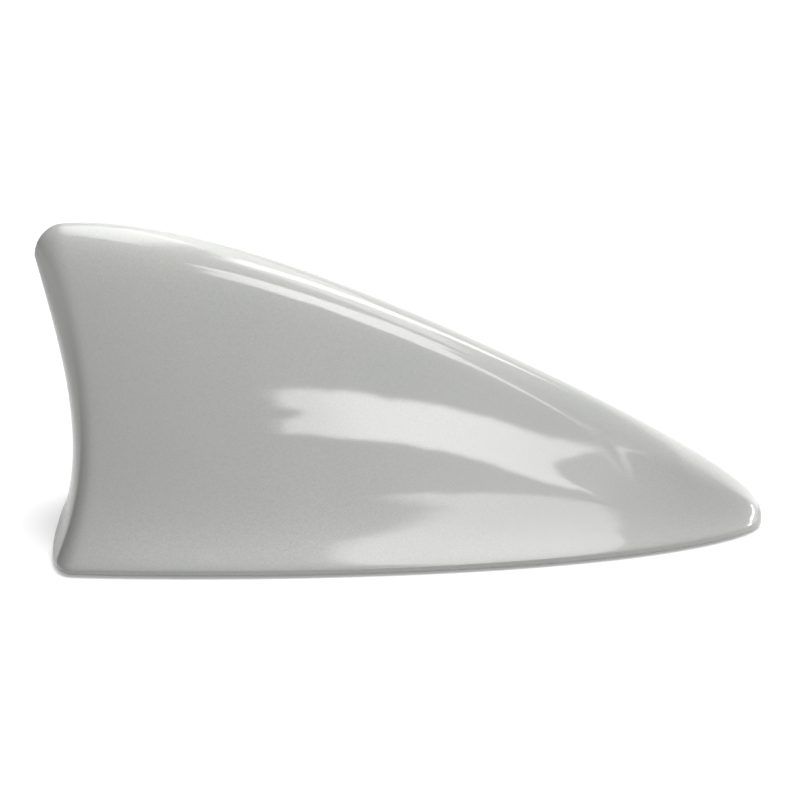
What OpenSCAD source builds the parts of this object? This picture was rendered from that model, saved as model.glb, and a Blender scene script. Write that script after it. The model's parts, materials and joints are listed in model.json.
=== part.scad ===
// Shark fin roof aerial of the stick-on kind: a gloss cover screwed to a
// moulded base, which foam tape holds over the foot of the car's old aerial.
// The nose points along +X and the roof is the plane z = 0.

/* [Cover] */
// Overall length, from the tip of the tail to the nose
fin_l = 165; // [150:1:200]
// Overall height above the roof
fin_h = 71.5; // [68:0.5:88]
// Overall width of the foot
fin_w = 75; // [70:1:92]
// How far the tail's foot lies in front of its tip
tail_inset = 3.8; // [2:0.1:8]
// Depth of the hollow in the tail's edge
tail_hollow = 5.6; // [2:0.1:9]
// Rounding of the tail's tip, seen from the side
tip_round = 6.5; // [4:0.5:8]
// Half width of the ridge's rounding
ridge_half = 4.3; // [3.8:0.1:5]
// Size of the rounding where the flanks meet the tail
tail_corner = 6.5; // [5:0.5:9]
// Wall of the cover
wall = 2.2; // [1.8:0.1:2.6]
// Gap between the cover's rim and the roof
rim_gap = 0.6; // [0.4:0.1:0.9]
// Height of the upright band along the rim
rim_band = 1.2; // [0.8:0.1:1.8]
// Rounding of the rim's lower edge
rim_round = 0.5; // [0.3:0.1:0.7]

/* [Base] */
// Thickness of the foam tape
pad_t = 1.1; // [0.8:0.1:2]
// Thickness of the base's floor
floor_t = 2.4; // [2:0.1:3.2]
// How far the floor's edge lies inside the cover's rim
floor_inset = 5.8; // [5.4:0.1:7]
// Radius of the bore that goes over the old aerial's foot
foot_r = 11; // [9:0.5:12]
// Height of the collar round that bore, above the floor
collar_h = 5.5; // [4:0.5:7]
// Wall of the collar
collar_t = 2.4; // [2:0.1:3]
// Width of the rubber lip between floor and cover
lip_w = 0.9; // [0.6:0.1:1.2]

/* [Board] */
// Height of the board's underside above the roof
board_z = 14; // [12.5:0.5:17]
// Thickness of the board
board_t = 1.6; // [1:0.1:2]
// Length of the board
board_l = 90; // [80:1:100]
// Width of the board
board_w = 31; // [28:1:38]
// How far the board's rear edge lies in front of the tail's tip
board_rear = 19.5; // [18:0.5:26]

/* [Aerial element] */
// Space between the cover and the folded top element
element_gap = 1.2; // [0.6:0.1:1.5]
// Sheet of the top element
sheet_t = 0.5; // [0.4:0.1:0.8]
// Thickness of the holder's web
web_t = 2.4; // [1.8:0.2:3]
// Turns of the coil
coil_turns = 10; // [6:1:12]
// Diameter of the coil's wire
wire_d = 0.9; // [0.6:0.1:1]
// Radius of the former that the coil is wound on
former_r = 4.6; // [3.5:0.1:4.8]

/* [Fasteners] */
// Outside radius of the bosses in the cover
boss_r = 3.3; // [3:0.1:3.8]
// Shank radius of the screws that hold the cover
cover_screw_r = 1.3; // [1:0.1:1.5]
// Shank radius of the screws that hold the board
board_screw_r = 0.95; // [0.8:0.05:1.2]

/* [Hidden] */
$fn = 48;

// Small gap between pieces that fit into each other
fit = 0.1;
// Overlap by which pieces of one moulding run into each other
bite = 0.3;
nose_x = fin_l / 2;
tip_x = -fin_l / 2;
foot_x = tip_x + tail_inset;
floor_z = pad_t + floor_t;
board_top = board_z + board_t;

// Form of the cover. Its ridge, plan and tail are curves on a few control
// points, given as shares of the overall sizes, and its sections are curves
// that flare from the blade to the rim.
ridge_shape = [[-0.5, 0.984], [-0.345, 1.061], [-0.08, 0.893], [0.17, 0.502], [0.5, 0.234], [0.5, 0.03]];
plan_shape = [[-0.32, 1.04], [0, 1.06], [0.36, 0.89], [0.5, 0.2], [0.5, 0]];
plan_tail_w = 0.96;
// The pairs below steer a section at the tail and at the nose: half widths of
// its flare, hip, waist and neck as shares of the rim's, and their heights as
// shares of the section's
flare_w = [0.666, 0.885];
flare_z = [0.173, 0.125];
hip_w = [0.673, 0.865];
hip_z = [0.176, 0.371];
waist_w = [0.497, 0.835];
waist_z = [0.429, 0.553];
neck_w = [0.106, 0.826];
neck_z = [0.814, 0.967];
// Point under the ridge that steers its rounding, as shares of its half width,
// and how deep it may lie, as a share of the section's height
crown_bulge = 2.354;
crown_drop = 3.469;
crown_share = 0.5;
// How late the sections turn from the tail's form into the nose's
dome_power = 4.35;
// Widest the ridge's rounding may be, as a share of the rim's half width
ridge_share = 0.3;
// Height above the band over which the flank starts upright
rim_lip = 1.2;
// Points that steer the tail's hollow: how far in the lower one lies, as a
// share of the hollow, and the heights of both as shares of the tail's
tail_low = [1.55, 0.29];
tail_high = 0.62;
// Exponent of the tail's rounded corners: 2 is an ellipse
corner_power = 2.6;
// Mesh steps over the tail's corner, along the flank and up the section
corner_steps = 6;
flank_steps = 36;
up_steps = 20;
// Levels of the band's rows, as shares of its rounding over the rim
band_levels = [0, 0.3, 1];
// Steps under the ridge that the inner face takes as one
crown_steps = 4;
// Least half width of the inner face next to its middle
seam = 0.1;
// Least rise of the inner face's rows above the rim, one over the other
rim_rise = 0.03;

function mix(a, b, k) = a + (b - a) * k;
function unit(v) = v / norm(v);
function turned(v) = [-v.y, v.x];
function bezier(c, k) =
    len(c) == 1 ? c[0] : bezier([for (i = [0 : len(c) - 2]) mix(c[i], c[i + 1], k)], k);
function curve_top(c) = max([for (i = [0 : 200]) bezier(c, i / 200).y]);

// Ridge in the plane y = 0, as [x, z]
ridge_scale = (fin_h - rim_gap) / (curve_top(ridge_shape));
ridge_c = [for (c = ridge_shape) [c.x * fin_l, rim_gap + c.y * ridge_scale]];
// Rim in plan, as [x, half width]
plan_rough = concat([[foot_x / fin_l, plan_tail_w]], plan_shape);
plan_scale = fin_w / 2 / curve_top(plan_rough);
plan_c = [for (c = plan_rough) [c.x * fin_l, c.y * plan_scale]];
// Level at which the flanks start on the rim's band
lip_z = rim_gap + rim_band;
// Tail's edge in the plane y = 0, as [x, z]
tail_top = ridge_c[0] - [0, tip_round];
tail_c = [[foot_x, lip_z],
          [foot_x + tail_hollow * tail_low[0], mix(lip_z, tail_top.y, tail_low[1])],
          [tip_x + tail_hollow, mix(lip_z, tail_top.y, tail_high)],
          tail_top];
// Share of the curves taken by one millimetre at the tail
u_per_mm = 1 / (5 * (plan_c[1].x - plan_c[0].x));

function ridge(u) =
    let (p = bezier(ridge_c, u), q = max(0, 1 - (p.x - tip_x) / tip_round))
    [p.x, p.y - tip_round * (1 - sqrt(1 - q * q))];
function plan(u) = bezier(plan_c, u);

// Side view: a patch stretched between rim, ridge, tail and nose
function side(u, s) =
    let (rim = [plan(u).x, lip_z], top = ridge(u), tail = bezier(tail_c, s),
         rim_0 = tail_c[0], rim_1 = [nose_x, lip_z], top_0 = tail_top, top_1 = ridge_c[5],
         nose = mix(rim_1, top_1, s))
    mix(rim, top, s) + mix(tail, nose, u) - mix(mix(rim_0, rim_1, u), mix(top_0, top_1, u), s);

// Section at u: half width and share of the height at t, from band to ridge
function section(u, t) =
    let (w = plan(u).y, h = ridge(u).y - lip_z, k = pow(u, dome_power),
         low = min(rim_lip / h, 0.3), crown = min(ridge_half, w * ridge_share))
    bezier([[w, 0], [w, low],
            [w * mix(flare_w[0], flare_w[1], k), mix(flare_z[0], flare_z[1], k)],
            [w * mix(hip_w[0], hip_w[1], k), mix(hip_z[0], hip_z[1], k)],
            [w * mix(waist_w[0], waist_w[1], k), mix(waist_z[0], waist_z[1], k)],
            [w * mix(neck_w[0], neck_w[1], k), mix(neck_z[0], neck_z[1], k)],
            [crown * crown_bulge, 1 - min(crown_drop * crown / h, crown_share)],
            [crown, 1], [0, 1]], t);

// Point of the outer face on the +Y side. round is 1 on the flank and falls
// to 0 at the middle of the tail.
function face(u, t, round = 1) =
    let (c = section(u, t), p = side(u, c.y))
    [p.x, c.x * round, p.y];

// Steps from the middle of the tail round its corner and along the flank, as [u, round]
function corner_step(k) =
    let (a = 90 * k, size = tail_corner * u_per_mm)
    [size * (1 - pow(cos(a), 2 / corner_power)), pow(sin(a), 2 / corner_power)];
steps = concat([for (k = [0 : corner_steps - 1]) corner_step(k / corner_steps)],
               [for (k = [0 : flank_steps]) [mix(corner_step(1).x, 1, k / flank_steps), 1]]);
last = len(steps) - 1;
function up_step(i) = (1 - cos(180 * i / up_steps)) / 2;

// Point of the rim's band at a level over the rim, whose lower edge is drawn in
function band_point(u, round, level) =
    let (p = plan(u), q = max(0, 1 - level / rim_round),
         inset = rim_round * (1 - sqrt(1 - q * q)))
    [p.x * (1 - inset / nose_x), p.y * round * (1 - 2 * inset / fin_w), rim_gap + level];

// Outer face as rows of points, from rim to ridge, and its outward normals
band_rows = len(band_levels);
skin_rows = band_rows + up_steps;
function outer_rows() =
    concat([for (b = band_levels) [for (s = steps) band_point(s.x, s.y, b * rim_round)]],
           [for (i = [0 : up_steps]) [for (s = steps) face(s.x, up_step(i), s.y)]]);
function mirrored(p) = [p.x, -p.y, p.z];
function normal_at(g, i, j) =
    let (ridge_end = i == skin_rows && (j == 0 || j == last),
         a = j == 0 ? (ridge_end ? g[i][0] : mirrored(g[i][1])) : g[i][j - 1],
         b = j == last ? (ridge_end ? g[i][last] : mirrored(g[i][last - 1])) : g[i][j + 1],
         c = i == 0 ? g[0][j] : g[i - 1][j],
         d = i == skin_rows ? mirrored(g[i - 1][j]) : g[i + 1][j],
         across = ridge_end && norm(d - c) < 0.001 ? [0, -1, 0] : d - c,
         n = cross(across, b - a))
    unit(i <= band_rows ? [n.x, n.y, 0] : n);
function inner_rows(g, d) =
    [for (i = concat([0], [for (k = [band_rows : skin_rows - crown_steps]) k], [skin_rows]))
        [for (j = [0 : last])
            let (row = max(i, band_rows), p = g[row][j] - d * normal_at(g, row, j))
            [p.x, j == 0 || j == last || i == skin_rows ? 0 : max(p.y, seam),
             i == 0 ? rim_gap : max(p.z, rim_gap + rim_rise * i)]]];

// Closed skin between two faces that are mirrored in the plane y = 0. A row
// becomes a ring that runs down the +Y flank and back along the -Y flank.
ring_n = 2 * last;
function ring(row) = concat(row, [for (j = [last - 1 : -1 : 1]) mirrored(row[j])]);
function half_index(j) = j <= last ? j : ring_n - j;
function ring_point(row, j) = row * ring_n + j % ring_n;
function top_point(row, j) = row * ring_n + half_index(j % ring_n);
function skin_faces(base, rows, flip) =
    [for (i = [0 : rows - 1]) for (j = [0 : ring_n - 1])
        let (a = base + ring_point(i, j), b = base + ring_point(i, j + 1),
             c = base + (i == rows - 1 ? top_point(i + 1, j + 1) : ring_point(i + 1, j + 1)),
             d = base + (i == rows - 1 ? top_point(i + 1, j) : ring_point(i + 1, j)))
        flip ? [d, c, b, a] : [a, b, c, d]];
function rim_faces(base) =
    [for (j = [0 : ring_n - 1])
        [base + ring_point(0, j), base + ring_point(0, j + 1), ring_point(0, j + 1), ring_point(0, j)]];
function skin_points(g) =
    let (top = len(g) - 1)
    concat([for (i = [0 : top - 1]) each ring(g[i])], g[top]);

module cover_skin() {
    outer = outer_rows();
    inner = inner_rows(outer, wall);
    base = skin_rows * ring_n + last + 1;
    polyhedron(points = concat(skin_points(outer), skin_points(inner)),
               faces = concat(skin_faces(0, skin_rows, false), skin_faces(base, len(inner) - 1, true),
                              rim_faces(base)));
}

// Point at a depth under the cover's face, and the face's normal there
nudge = 0.004;
function face_normal(u, t) =
    unit(cross(face(u, t + nudge) - face(u, t - nudge), face(u + nudge, t) - face(u - nudge, t)));
function under_face(u, t, depth) = face(u, t) - depth * face_normal(u, t);
// Places of the cover's screws on its flanks, as [u, t]
boss_places = [[0.13, 0.4], [0.62, 0.48]];
boss_z = floor_z + fit;
pilot_depth = 6;

// Point under a boss at height z
function boss_foot(b, z) = let (p = under_face(b.x, b.y, wall / 2)) [p.x, p.y, z];

// Boss that stands from the floor to the middle of the flank's wall
module boss(u, t) {
    mid = under_face(u, t, wall / 2);
    n = face_normal(u, t);
    lean = acos(n.z);
    turn = atan2(n.y, n.x);
    difference() {
        translate([mid.x, mid.y, boss_z]) cylinder(r = boss_r, h = mid.z);
        translate(mid) rotate([0, lean, turn]) translate([-20, -20, 0]) cube([40, 40, 60]);
        translate([mid.x, mid.y, boss_z - 1]) cylinder(r = cover_screw_r + fit, h = pilot_depth + 1);
    }
}

module both_sides() {
    children();
    mirror([0, 1, 0]) children();
}

module fin_shell() {
    color("#b4b6b0") {
        cover_skin();
        both_sides()
            for (b = boss_places) boss(b.x, b.y);
    }
}

// Outline of the foot, drawn in by d from the cover's rim, as a list of points
blunt_nose = 2;
outline_steps = 48;
function foot_outline(d) =
    let (corner = [for (k = [1 : corner_steps])
                      let (c = corner_step(k / corner_steps), p = plan(c.x))
                      [p.x + d, (p.y - d) * c.y]],
         flank = [for (k = [1 : outline_steps])
                     let (u = mix(corner_step(1).x, 1, k / outline_steps),
                          a = plan(u - nudge), b = plan(min(u + nudge, 1)),
                          p = plan(u) - d * turned(unit(b - a)))
                     if (p.x > corner[corner_steps - 1].x + 1 && p.y > blunt_nose) p],
         half = concat(corner, flank))
    concat(half, [for (i = [len(half) - 1 : -1 : 0]) [half[i].x, -half[i].y]]);

module foot_slab(d, z, h) {
    translate([0, 0, z]) linear_extrude(h) polygon(foot_outline(d));
}

module foot_ring(d_out, d_in, z, h) {
    translate([0, 0, z]) linear_extrude(h) difference() {
        polygon(foot_outline(d_out));
        polygon(foot_outline(d_in));
    }
}

// Base moulding
wall_inset = 11;
base_wall_t = 1.5;
base_wall_h = 2.5;
post_r = 3.2;
seal_w = 2.6;
seal_depth = 0.8;
head_r = 2.8;
head_h = 1.5;
board_rear_x = tip_x + board_rear;
board_front_x = board_rear_x + board_l;
// Board screws: two on the centre line that also hold the element's holder, two in front
holder_screw_x = [board_rear_x + 7, board_rear_x + 41];
front_screw = [board_front_x - 5, board_w / 2 - 5];
board_screw_at = [[holder_screw_x[0], 0], [holder_screw_x[1], 0], front_screw, [front_screw.x, -front_screw.y]];

module base_plate() {
    color("#26282a")
    difference() {
        union() {
            foot_slab(floor_inset, pad_t, floor_t);
            foot_ring(wall_inset, wall_inset + base_wall_t, floor_z - bite, base_wall_h + bite);
            translate([0, 0, pad_t]) cylinder(r = foot_r + collar_t, h = floor_t + collar_h);
            for (p = board_screw_at)
                translate([p.x, p.y, floor_z - bite]) cylinder(r = post_r, h = board_z - floor_z + bite);
        }
        translate([0, 0, pad_t - 1]) cylinder(r = foot_r, h = floor_t + collar_h + 2);
        translate([0, 0, pad_t - 1]) cylinder(r = foot_r + seal_w, h = seal_depth + 1);
        for (p = board_screw_at)
            translate([p.x, p.y, floor_z + 1]) cylinder(r = board_screw_r + fit, h = board_z);
        both_sides()
            for (b = boss_places)
                translate(boss_foot(b, pad_t - 1)) {
                    cylinder(r = cover_screw_r + 0.4, h = floor_t + 2);
                    cylinder(r = head_r + 0.3, h = head_h + 1);
                    translate([0, 0, floor_t + 1]) cylinder(r = boss_r + 0.4, h = base_wall_h + 1);
                }
    }
}

// Rubber gasket: a flat band on the roof with a lip between floor and cover
gasket_out = wall + 1.2;
gasket_in = floor_inset + 2.5;

module seal_gasket() {
    color("#1b1b1c") {
        foot_ring(gasket_out, gasket_in, 0, pad_t);
        foot_ring(floor_inset - fit - lip_w, floor_inset - fit, pad_t, 1.2);
    }
}

module adhesive_pad() {
    color("#3a3a3c")
    difference() {
        foot_slab(gasket_in + 0.3, 0, pad_t);
        translate([0, 0, -1]) cylinder(r = foot_r + seal_w + 0.4, h = pad_t + 2);
    }
}

module foot_seal() {
    color("#202022")
    difference() {
        cylinder(r = foot_r + seal_w - fit, h = pad_t + seal_depth);
        translate([0, 0, -1]) cylinder(r = foot_r + 0.3, h = pad_t + seal_depth + 2);
    }
}

// Stamped earth plate on the floor, with two tabs up to the board
earth_t = 0.6;
earth_l = 66;
earth_w = 33;
tab_w = 4;
earth_x = foot_r + collar_t + 6 - earth_l / 2;

module earth_plate() {
    color("#c2b280")
    difference() {
        union() {
            translate([earth_x - earth_l / 2, -earth_w / 2, floor_z]) cube([earth_l, earth_w, earth_t]);
            for (side = [-1, 1])
                translate([-foot_r - tab_w, side * (board_w / 2 - 2) - earth_t / 2, floor_z])
                    cube([tab_w, earth_t, board_z - floor_z]);
        }
        translate([0, 0, floor_z - 1]) cylinder(r = foot_r + collar_t + 0.4, h = earth_t + 2);
        for (p = board_screw_at)
            translate([p.x, p.y, floor_z - 1]) cylinder(r = post_r + 0.4, h = earth_t + 2);
        both_sides()
            for (b = boss_places)
                translate(boss_foot(b, floor_z - 1))
                    cylinder(r = boss_r + 1, h = earth_t + 2);
    }
}

module circuit_board() {
    chamfer = 5;
    color("#1f6b3a")
    difference() {
        translate([0, 0, board_z]) linear_extrude(board_t)
            polygon([[board_rear_x, -board_w / 2 + chamfer], [board_rear_x + chamfer, -board_w / 2],
                     [board_front_x - chamfer, -board_w / 2], [board_front_x, -board_w / 2 + chamfer],
                     [board_front_x, board_w / 2 - chamfer], [board_front_x - chamfer, board_w / 2],
                     [board_rear_x + chamfer, board_w / 2], [board_rear_x, board_w / 2 - chamfer]]);
        for (p = board_screw_at)
            translate([p.x, p.y, board_z - 1]) cylinder(r = board_screw_r + 0.3, h = board_t + 2);
        translate([0, 0, board_z - 1]) cylinder(r = barrel_r + fit, h = board_t + 2);
    }
}

// Spring contact that meets the stub of the old aerial
barrel_r = 1.8;
plunger_r = 1.1;
contact_low = floor_z + collar_h + 0.5;

module contact_barrel() {
    color("#c8a94b")
    difference() {
        union() {
            translate([0, 0, contact_low + 2]) cylinder(r = barrel_r, h = board_top - contact_low - 1);
            translate([0, 0, board_top]) cylinder(r = barrel_r + 0.9, h = 0.6);
        }
        translate([0, 0, contact_low + 1]) cylinder(r = plunger_r + fit, h = board_top - contact_low - 1.4);
    }
}

module contact_plunger() {
    color("#d9c06a")
    translate([0, 0, contact_low]) {
        translate([0, 0, plunger_r]) sphere(r = plunger_r);
        translate([0, 0, plunger_r]) cylinder(r = plunger_r, h = 4);
    }
}

// Folded sheet that lies under the ridge and loads the aerial's top
element_u = [0.07, 0.38];
// Its lower edge and the start of its fold, as shares of the section's curve
element_t = [0.66, 0.86];
// Height of the fold over its start, as a share of its half width there
fold_rise = 0.35;
element_depth = wall + element_gap;
element_n = 14;
fold_n = 5;

function flank_row(u, depth, ends, n) =
    [for (k = [0 : n]) under_face(u, mix(ends[0], ends[1], k / n), depth)];
function element_row(u, depth) =
    let (half = flank_row(u, depth, element_t, fold_n), end = half[fold_n])
    concat(half, [[end.x, 0, end.z + fold_rise * end.y]], [for (k = [fold_n : -1 : 0]) mirrored(half[k])]);

// Sheet between two grids of points that have the same size
module sheet(upper, lower) {
    m = len(upper);
    n = len(upper[0]);
    below = m * n;
    edge = concat([for (j = [0 : n - 2]) [j, j + 1]],
                  [for (i = [0 : m - 2]) [(i + 1) * n - 1, (i + 2) * n - 1]],
                  [for (j = [n - 1 : -1 : 1]) [(m - 1) * n + j, (m - 1) * n + j - 1]],
                  [for (i = [m - 1 : -1 : 1]) [i * n, (i - 1) * n]]);
    cells = [for (i = [0 : m - 2]) for (j = [0 : n - 2])
                [i * n + j, (i + 1) * n + j, (i + 1) * n + j + 1, i * n + j + 1]];
    polyhedron(points = concat([for (r = upper) each r], [for (r = lower) each r]),
               faces = concat(cells,
                              [for (c = cells) [for (k = [3 : -1 : 0]) c[k] + below]],
                              [for (e = edge) [e[0], e[1], e[1] + below, e[0] + below]]));
}

module top_element() {
    color("#cfd2d4")
    sheet([for (k = [0 : element_n]) element_row(mix(element_u[0], element_u[1], k / element_n), element_depth)],
          [for (k = [0 : element_n])
              element_row(mix(element_u[0], element_u[1], k / element_n), element_depth + sheet_t)]);
}

// Foam strips between the element's flanks and the cover, which stop rattling
strip_u = [0.12, 0.2];
strip_t = [0.7, 0.8];
strip_n = 4;

module rattle_pads() {
    color("#4a4a4d")
    both_sides()
        sheet([for (k = [0 : strip_n])
                  flank_row(mix(strip_u[0], strip_u[1], k / strip_n), wall + fit, strip_t, strip_n)],
              [for (k = [0 : strip_n])
                  flank_row(mix(strip_u[0], strip_u[1], k / strip_n), element_depth - fit, strip_t, strip_n)]);
}

// Plastic holder: a web on two feet, with the coil's former in its window
foot_l = 12;
foot_w = 13;
foot_t = 2;
// How far the web runs onto its feet, and how far the former rises over the coil
web_on_foot = 1.5;
former_rise = 5;
coil_x = mix(holder_screw_x[0], holder_screw_x[1], 0.5);
coil_r = former_r + fit + wire_d / 2;
coil_low = board_top + 3.5;
coil_pitch = 2.3;
// Space between the coil and the window's sides
window_gap = 1.2;
coil_high = coil_low + coil_turns * coil_pitch;
window_r = coil_r + wire_d + window_gap;
web_top_n = 12;
// Place on the section's curve at which the web's edge meets the element
web_share = 0.83;

function web_edge() =
    [for (k = [0 : web_top_n])
        let (p = under_face(mix(element_u[0] + 0.01, element_u[1] - 0.01, k / web_top_n), web_share,
                            element_depth + sheet_t))
        [p.x, p.z - fit]];

module element_holder() {
    web_x = [holder_screw_x[0] + foot_l / 2 - web_on_foot, holder_screw_x[1] - foot_l / 2 + web_on_foot];
    color("#e6e4dc")
    difference() {
        union() {
            translate([0, web_t / 2, 0]) rotate([90, 0, 0]) linear_extrude(web_t) difference() {
                polygon(concat([[web_x[0], board_top]], web_edge(), [[web_x[1], board_top + foot_t], [web_x[1], board_top]]));
                translate([coil_x - window_r, board_top - 1])
                    square([2 * window_r, coil_high + former_rise - board_top + 1]);
            }
            for (x = holder_screw_x)
                translate([x - foot_l / 2, -foot_w / 2, board_top]) cube([foot_l, foot_w, foot_t]);
            translate([coil_x, 0, board_top]) cylinder(r = former_r, h = coil_high + former_rise + bite - board_top);
        }
        for (x = holder_screw_x)
            translate([x, 0, board_top - 1]) cylinder(r = board_screw_r + 0.3, h = foot_t + 2);
    }
}

// Coil of round wire, with a steep quarter turn at both ends
wire_sides = 6;
rings_per_turn = 16;
lead_turn = 0.25;
coil_top = coil_high + former_rise + 1;

function coil_rise(turn) =
    turn < 0 ? mix(coil_low, board_top + wire_d / 2 + fit, pow(-turn / lead_turn, 1.5))
    : turn > coil_turns ? mix(coil_high, coil_top, pow((turn - coil_turns) / lead_turn, 1.5))
    : coil_low + turn * coil_pitch;
function coil_point(turn) = [coil_x + coil_r * cos(360 * turn), coil_r * sin(360 * turn), coil_rise(turn)];
function coil_ring(turn) =
    let (step = 0.01, along = unit(coil_point(turn + step) - coil_point(turn - step)),
         out = [cos(360 * turn), sin(360 * turn), 0], up = cross(out, along))
    [for (k = [0 : wire_sides - 1])
        coil_point(turn) + wire_d / 2 * (cos(360 * k / wire_sides) * out + sin(360 * k / wire_sides) * up)];

module aerial_coil() {
    first = -lead_turn;
    count = round((coil_turns + 2 * lead_turn) * rings_per_turn);
    rings = [for (i = [0 : count]) each coil_ring(first + i / rings_per_turn)];
    body = [for (i = [0 : count - 1]) for (k = [0 : wire_sides - 1])
               let (a = i * wire_sides + k, b = i * wire_sides + (k + 1) % wire_sides)
               [a, a + wire_sides, b + wire_sides, b]];
    color("#b87333")
    polyhedron(points = rings,
               faces = concat(body, [[for (k = [0 : wire_sides - 1]) k]],
                              [[for (k = [wire_sides - 1 : -1 : 0]) count * wire_sides + k]]));
}

// Spring clip on the board that takes the coil's lower end
clip_size = [3.2, 2, 3];
clip_sheet = 0.7;
clip_floor = 0.5;
clip_back = 1.5;

module feed_clip() {
    clip = coil_point(-lead_turn);
    color("#d8cfa0")
    translate([clip.x - clip_size.x / 2, clip.y - clip_back - wire_d, board_top]) difference() {
        cube(clip_size);
        translate([clip_sheet, -1, clip_floor])
            cube([clip_size.x - 2 * clip_sheet, clip_size.y + 2, clip_size.z]);
    }
}

// Amplifier under its screening can, in front of the contact
can_l = 13;
can_w = 16;
can_h = 4.5;
can_t = 0.3;
can_x = foot_r + 3;
chip_side = 4;
chip_h = 1;
// Sizes and spacing of the small chips, and the rear end of their rows behind
// the contact
capacitor = [1.6, 0.8, 0.8];
resistor = [1.6, 0.8, 0.45];
can_pitch = 2.6;
row_pitch = 3.2;
can_row_y = 5;
row_y = 9;
chip_x = -foot_r - 19;

module shield_can() {
    color("#c9ccce")
    translate([can_x, -can_w / 2, board_top]) difference() {
        cube([can_l, can_w, can_h]);
        translate([can_t, can_t, -1]) cube([can_l - 2 * can_t, can_w - 2 * can_t, can_h - can_t + 1]);
    }
}

module amplifier_chip() {
    color("#18181a")
    translate([can_x + (can_l - chip_side) / 2, -chip_side / 2, board_top]) cube([chip_side, chip_side, chip_h]);
}

// Row of small chips on the board
module chips(x, y, count, size, pitch) {
    for (k = [0 : count - 1])
        translate([x + k * pitch, y - size.y / 2, board_top]) cube(size);
}

module chip_capacitors() {
    color("#a58a6a") {
        chips(can_x + 2, -can_row_y, 4, capacitor, can_pitch);
        chips(chip_x, row_y, 4, capacitor, row_pitch);
    }
}

module chip_resistors() {
    color("#2b2b2e") {
        chips(can_x + 2, can_row_y, 4, resistor, can_pitch);
        chips(chip_x, -row_y, 3, resistor, row_pitch);
    }
}

// Drum core of a choke, as [radius, height]
choke_y = 8;
drum = [[0, 0], [2.2, 0], [2.2, 0.7], [1.5, 0.9], [1.5, 2.4], [2.2, 2.6], [2.2, 3.2], [0, 3.2]];

module choke_coils() {
    color("#4a4442")
    for (y = [-choke_y, choke_y])
        translate([-foot_r, y, board_top]) rotate_extrude() polygon(drum);
}

arrester_r = 1.6;
arrester_l = 5;
arrester_y = -13;

module surge_arrester() {
    color("#d9d4cf")
    translate([-foot_r - arrester_l, arrester_y, board_top + arrester_r])
        rotate([0, 90, 0]) cylinder(r = arrester_r, h = arrester_l);
}

// Pan-head screw with its head's seat at z = 0 and its shank along +Z
module screw(shank_r, shank_l, r, h) {
    translate([0, 0, -h]) cylinder(r = r, h = h);
    cylinder(r = shank_r, h = shank_l);
}

module board_screws() {
    shank = 7.5;
    r = 2.1;
    h = 1.3;
    color("#9a9da0")
    for (p = board_screw_at)
        translate([p.x, p.y, board_top + (p.y == 0 ? foot_t : 0)])
            mirror([0, 0, 1]) screw(board_screw_r, shank, r, h);
}

module cover_screws() {
    shank = floor_t - head_h + pilot_depth - 0.5;
    color("#9a9da0")
    both_sides()
        for (b = boss_places)
            translate(boss_foot(b, pad_t + head_h))
                screw(cover_screw_r, shank, head_r, head_h - fit);
}

fin_shell();
base_plate();
seal_gasket();
adhesive_pad();
foot_seal();
earth_plate();
circuit_board();
element_holder();
top_element();
aerial_coil();
feed_clip();
contact_barrel();
contact_plunger();
shield_can();
amplifier_chip();
chip_capacitors();
chip_resistors();
choke_coils();
surge_arrester();
rattle_pads();
board_screws();
cover_screws();
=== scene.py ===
# %% [markdown]
# This lesson makes a shark fin aerial for a car roof look real. The sizes and
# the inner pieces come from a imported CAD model, which stays as it is, and
# Blender adds the finish: gloss paint over a smooth cover, moulded plastic,
# rubber, foam and the small metal pieces under the cover.

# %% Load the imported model
import json
import math

import bmesh
import bpy
from mathutils import Matrix, Vector
from mathutils.bvhtree import BVHTree


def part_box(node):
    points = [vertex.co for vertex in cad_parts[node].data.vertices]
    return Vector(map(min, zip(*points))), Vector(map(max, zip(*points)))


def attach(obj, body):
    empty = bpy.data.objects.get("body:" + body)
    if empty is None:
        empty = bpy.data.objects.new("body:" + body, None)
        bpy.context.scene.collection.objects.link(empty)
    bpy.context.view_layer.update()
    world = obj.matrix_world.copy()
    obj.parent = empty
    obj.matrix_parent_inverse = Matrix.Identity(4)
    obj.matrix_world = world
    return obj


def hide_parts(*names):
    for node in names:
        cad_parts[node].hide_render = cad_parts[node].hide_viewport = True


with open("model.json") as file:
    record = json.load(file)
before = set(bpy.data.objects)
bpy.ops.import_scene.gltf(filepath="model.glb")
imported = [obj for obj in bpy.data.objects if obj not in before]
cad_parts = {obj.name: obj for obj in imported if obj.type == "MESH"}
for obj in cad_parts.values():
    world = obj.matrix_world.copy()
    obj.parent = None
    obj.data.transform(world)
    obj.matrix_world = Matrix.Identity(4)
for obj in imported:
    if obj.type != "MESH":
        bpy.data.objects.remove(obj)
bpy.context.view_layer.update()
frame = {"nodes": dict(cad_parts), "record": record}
MM = 0.001

# %% [markdown]
# The photograph looks at the fin's flank from a little above the roof, with a
# long lens, so the far side hardly shrinks. A camera is placed by the angle
# above the roof, the distance and the lens, and it is turned so that its view
# goes through one point inside the fin.

# %% Camera
LOOK_AT = Vector((-0.45, 0, 30.17)) * MM
LOOK_DOWN = math.radians(16)
LOOK_FROM = 0.75
LENS = 148.5

away = Vector((0, -math.cos(LOOK_DOWN), math.sin(LOOK_DOWN)))
camera = bpy.data.objects.new("camera", bpy.data.cameras.new("camera"))
camera.data.lens = LENS
camera.data.sensor_width = 36
camera.location = LOOK_AT + away * LOOK_FROM
camera.rotation_mode = "QUATERNION"
camera.rotation_quaternion = away.to_track_quat("Z", "Y")
bpy.context.scene.collection.objects.link(camera)
bpy.context.scene.camera = camera
print("camera at", [round(c, 3) for c in camera.location], "lens", LENS)

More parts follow.
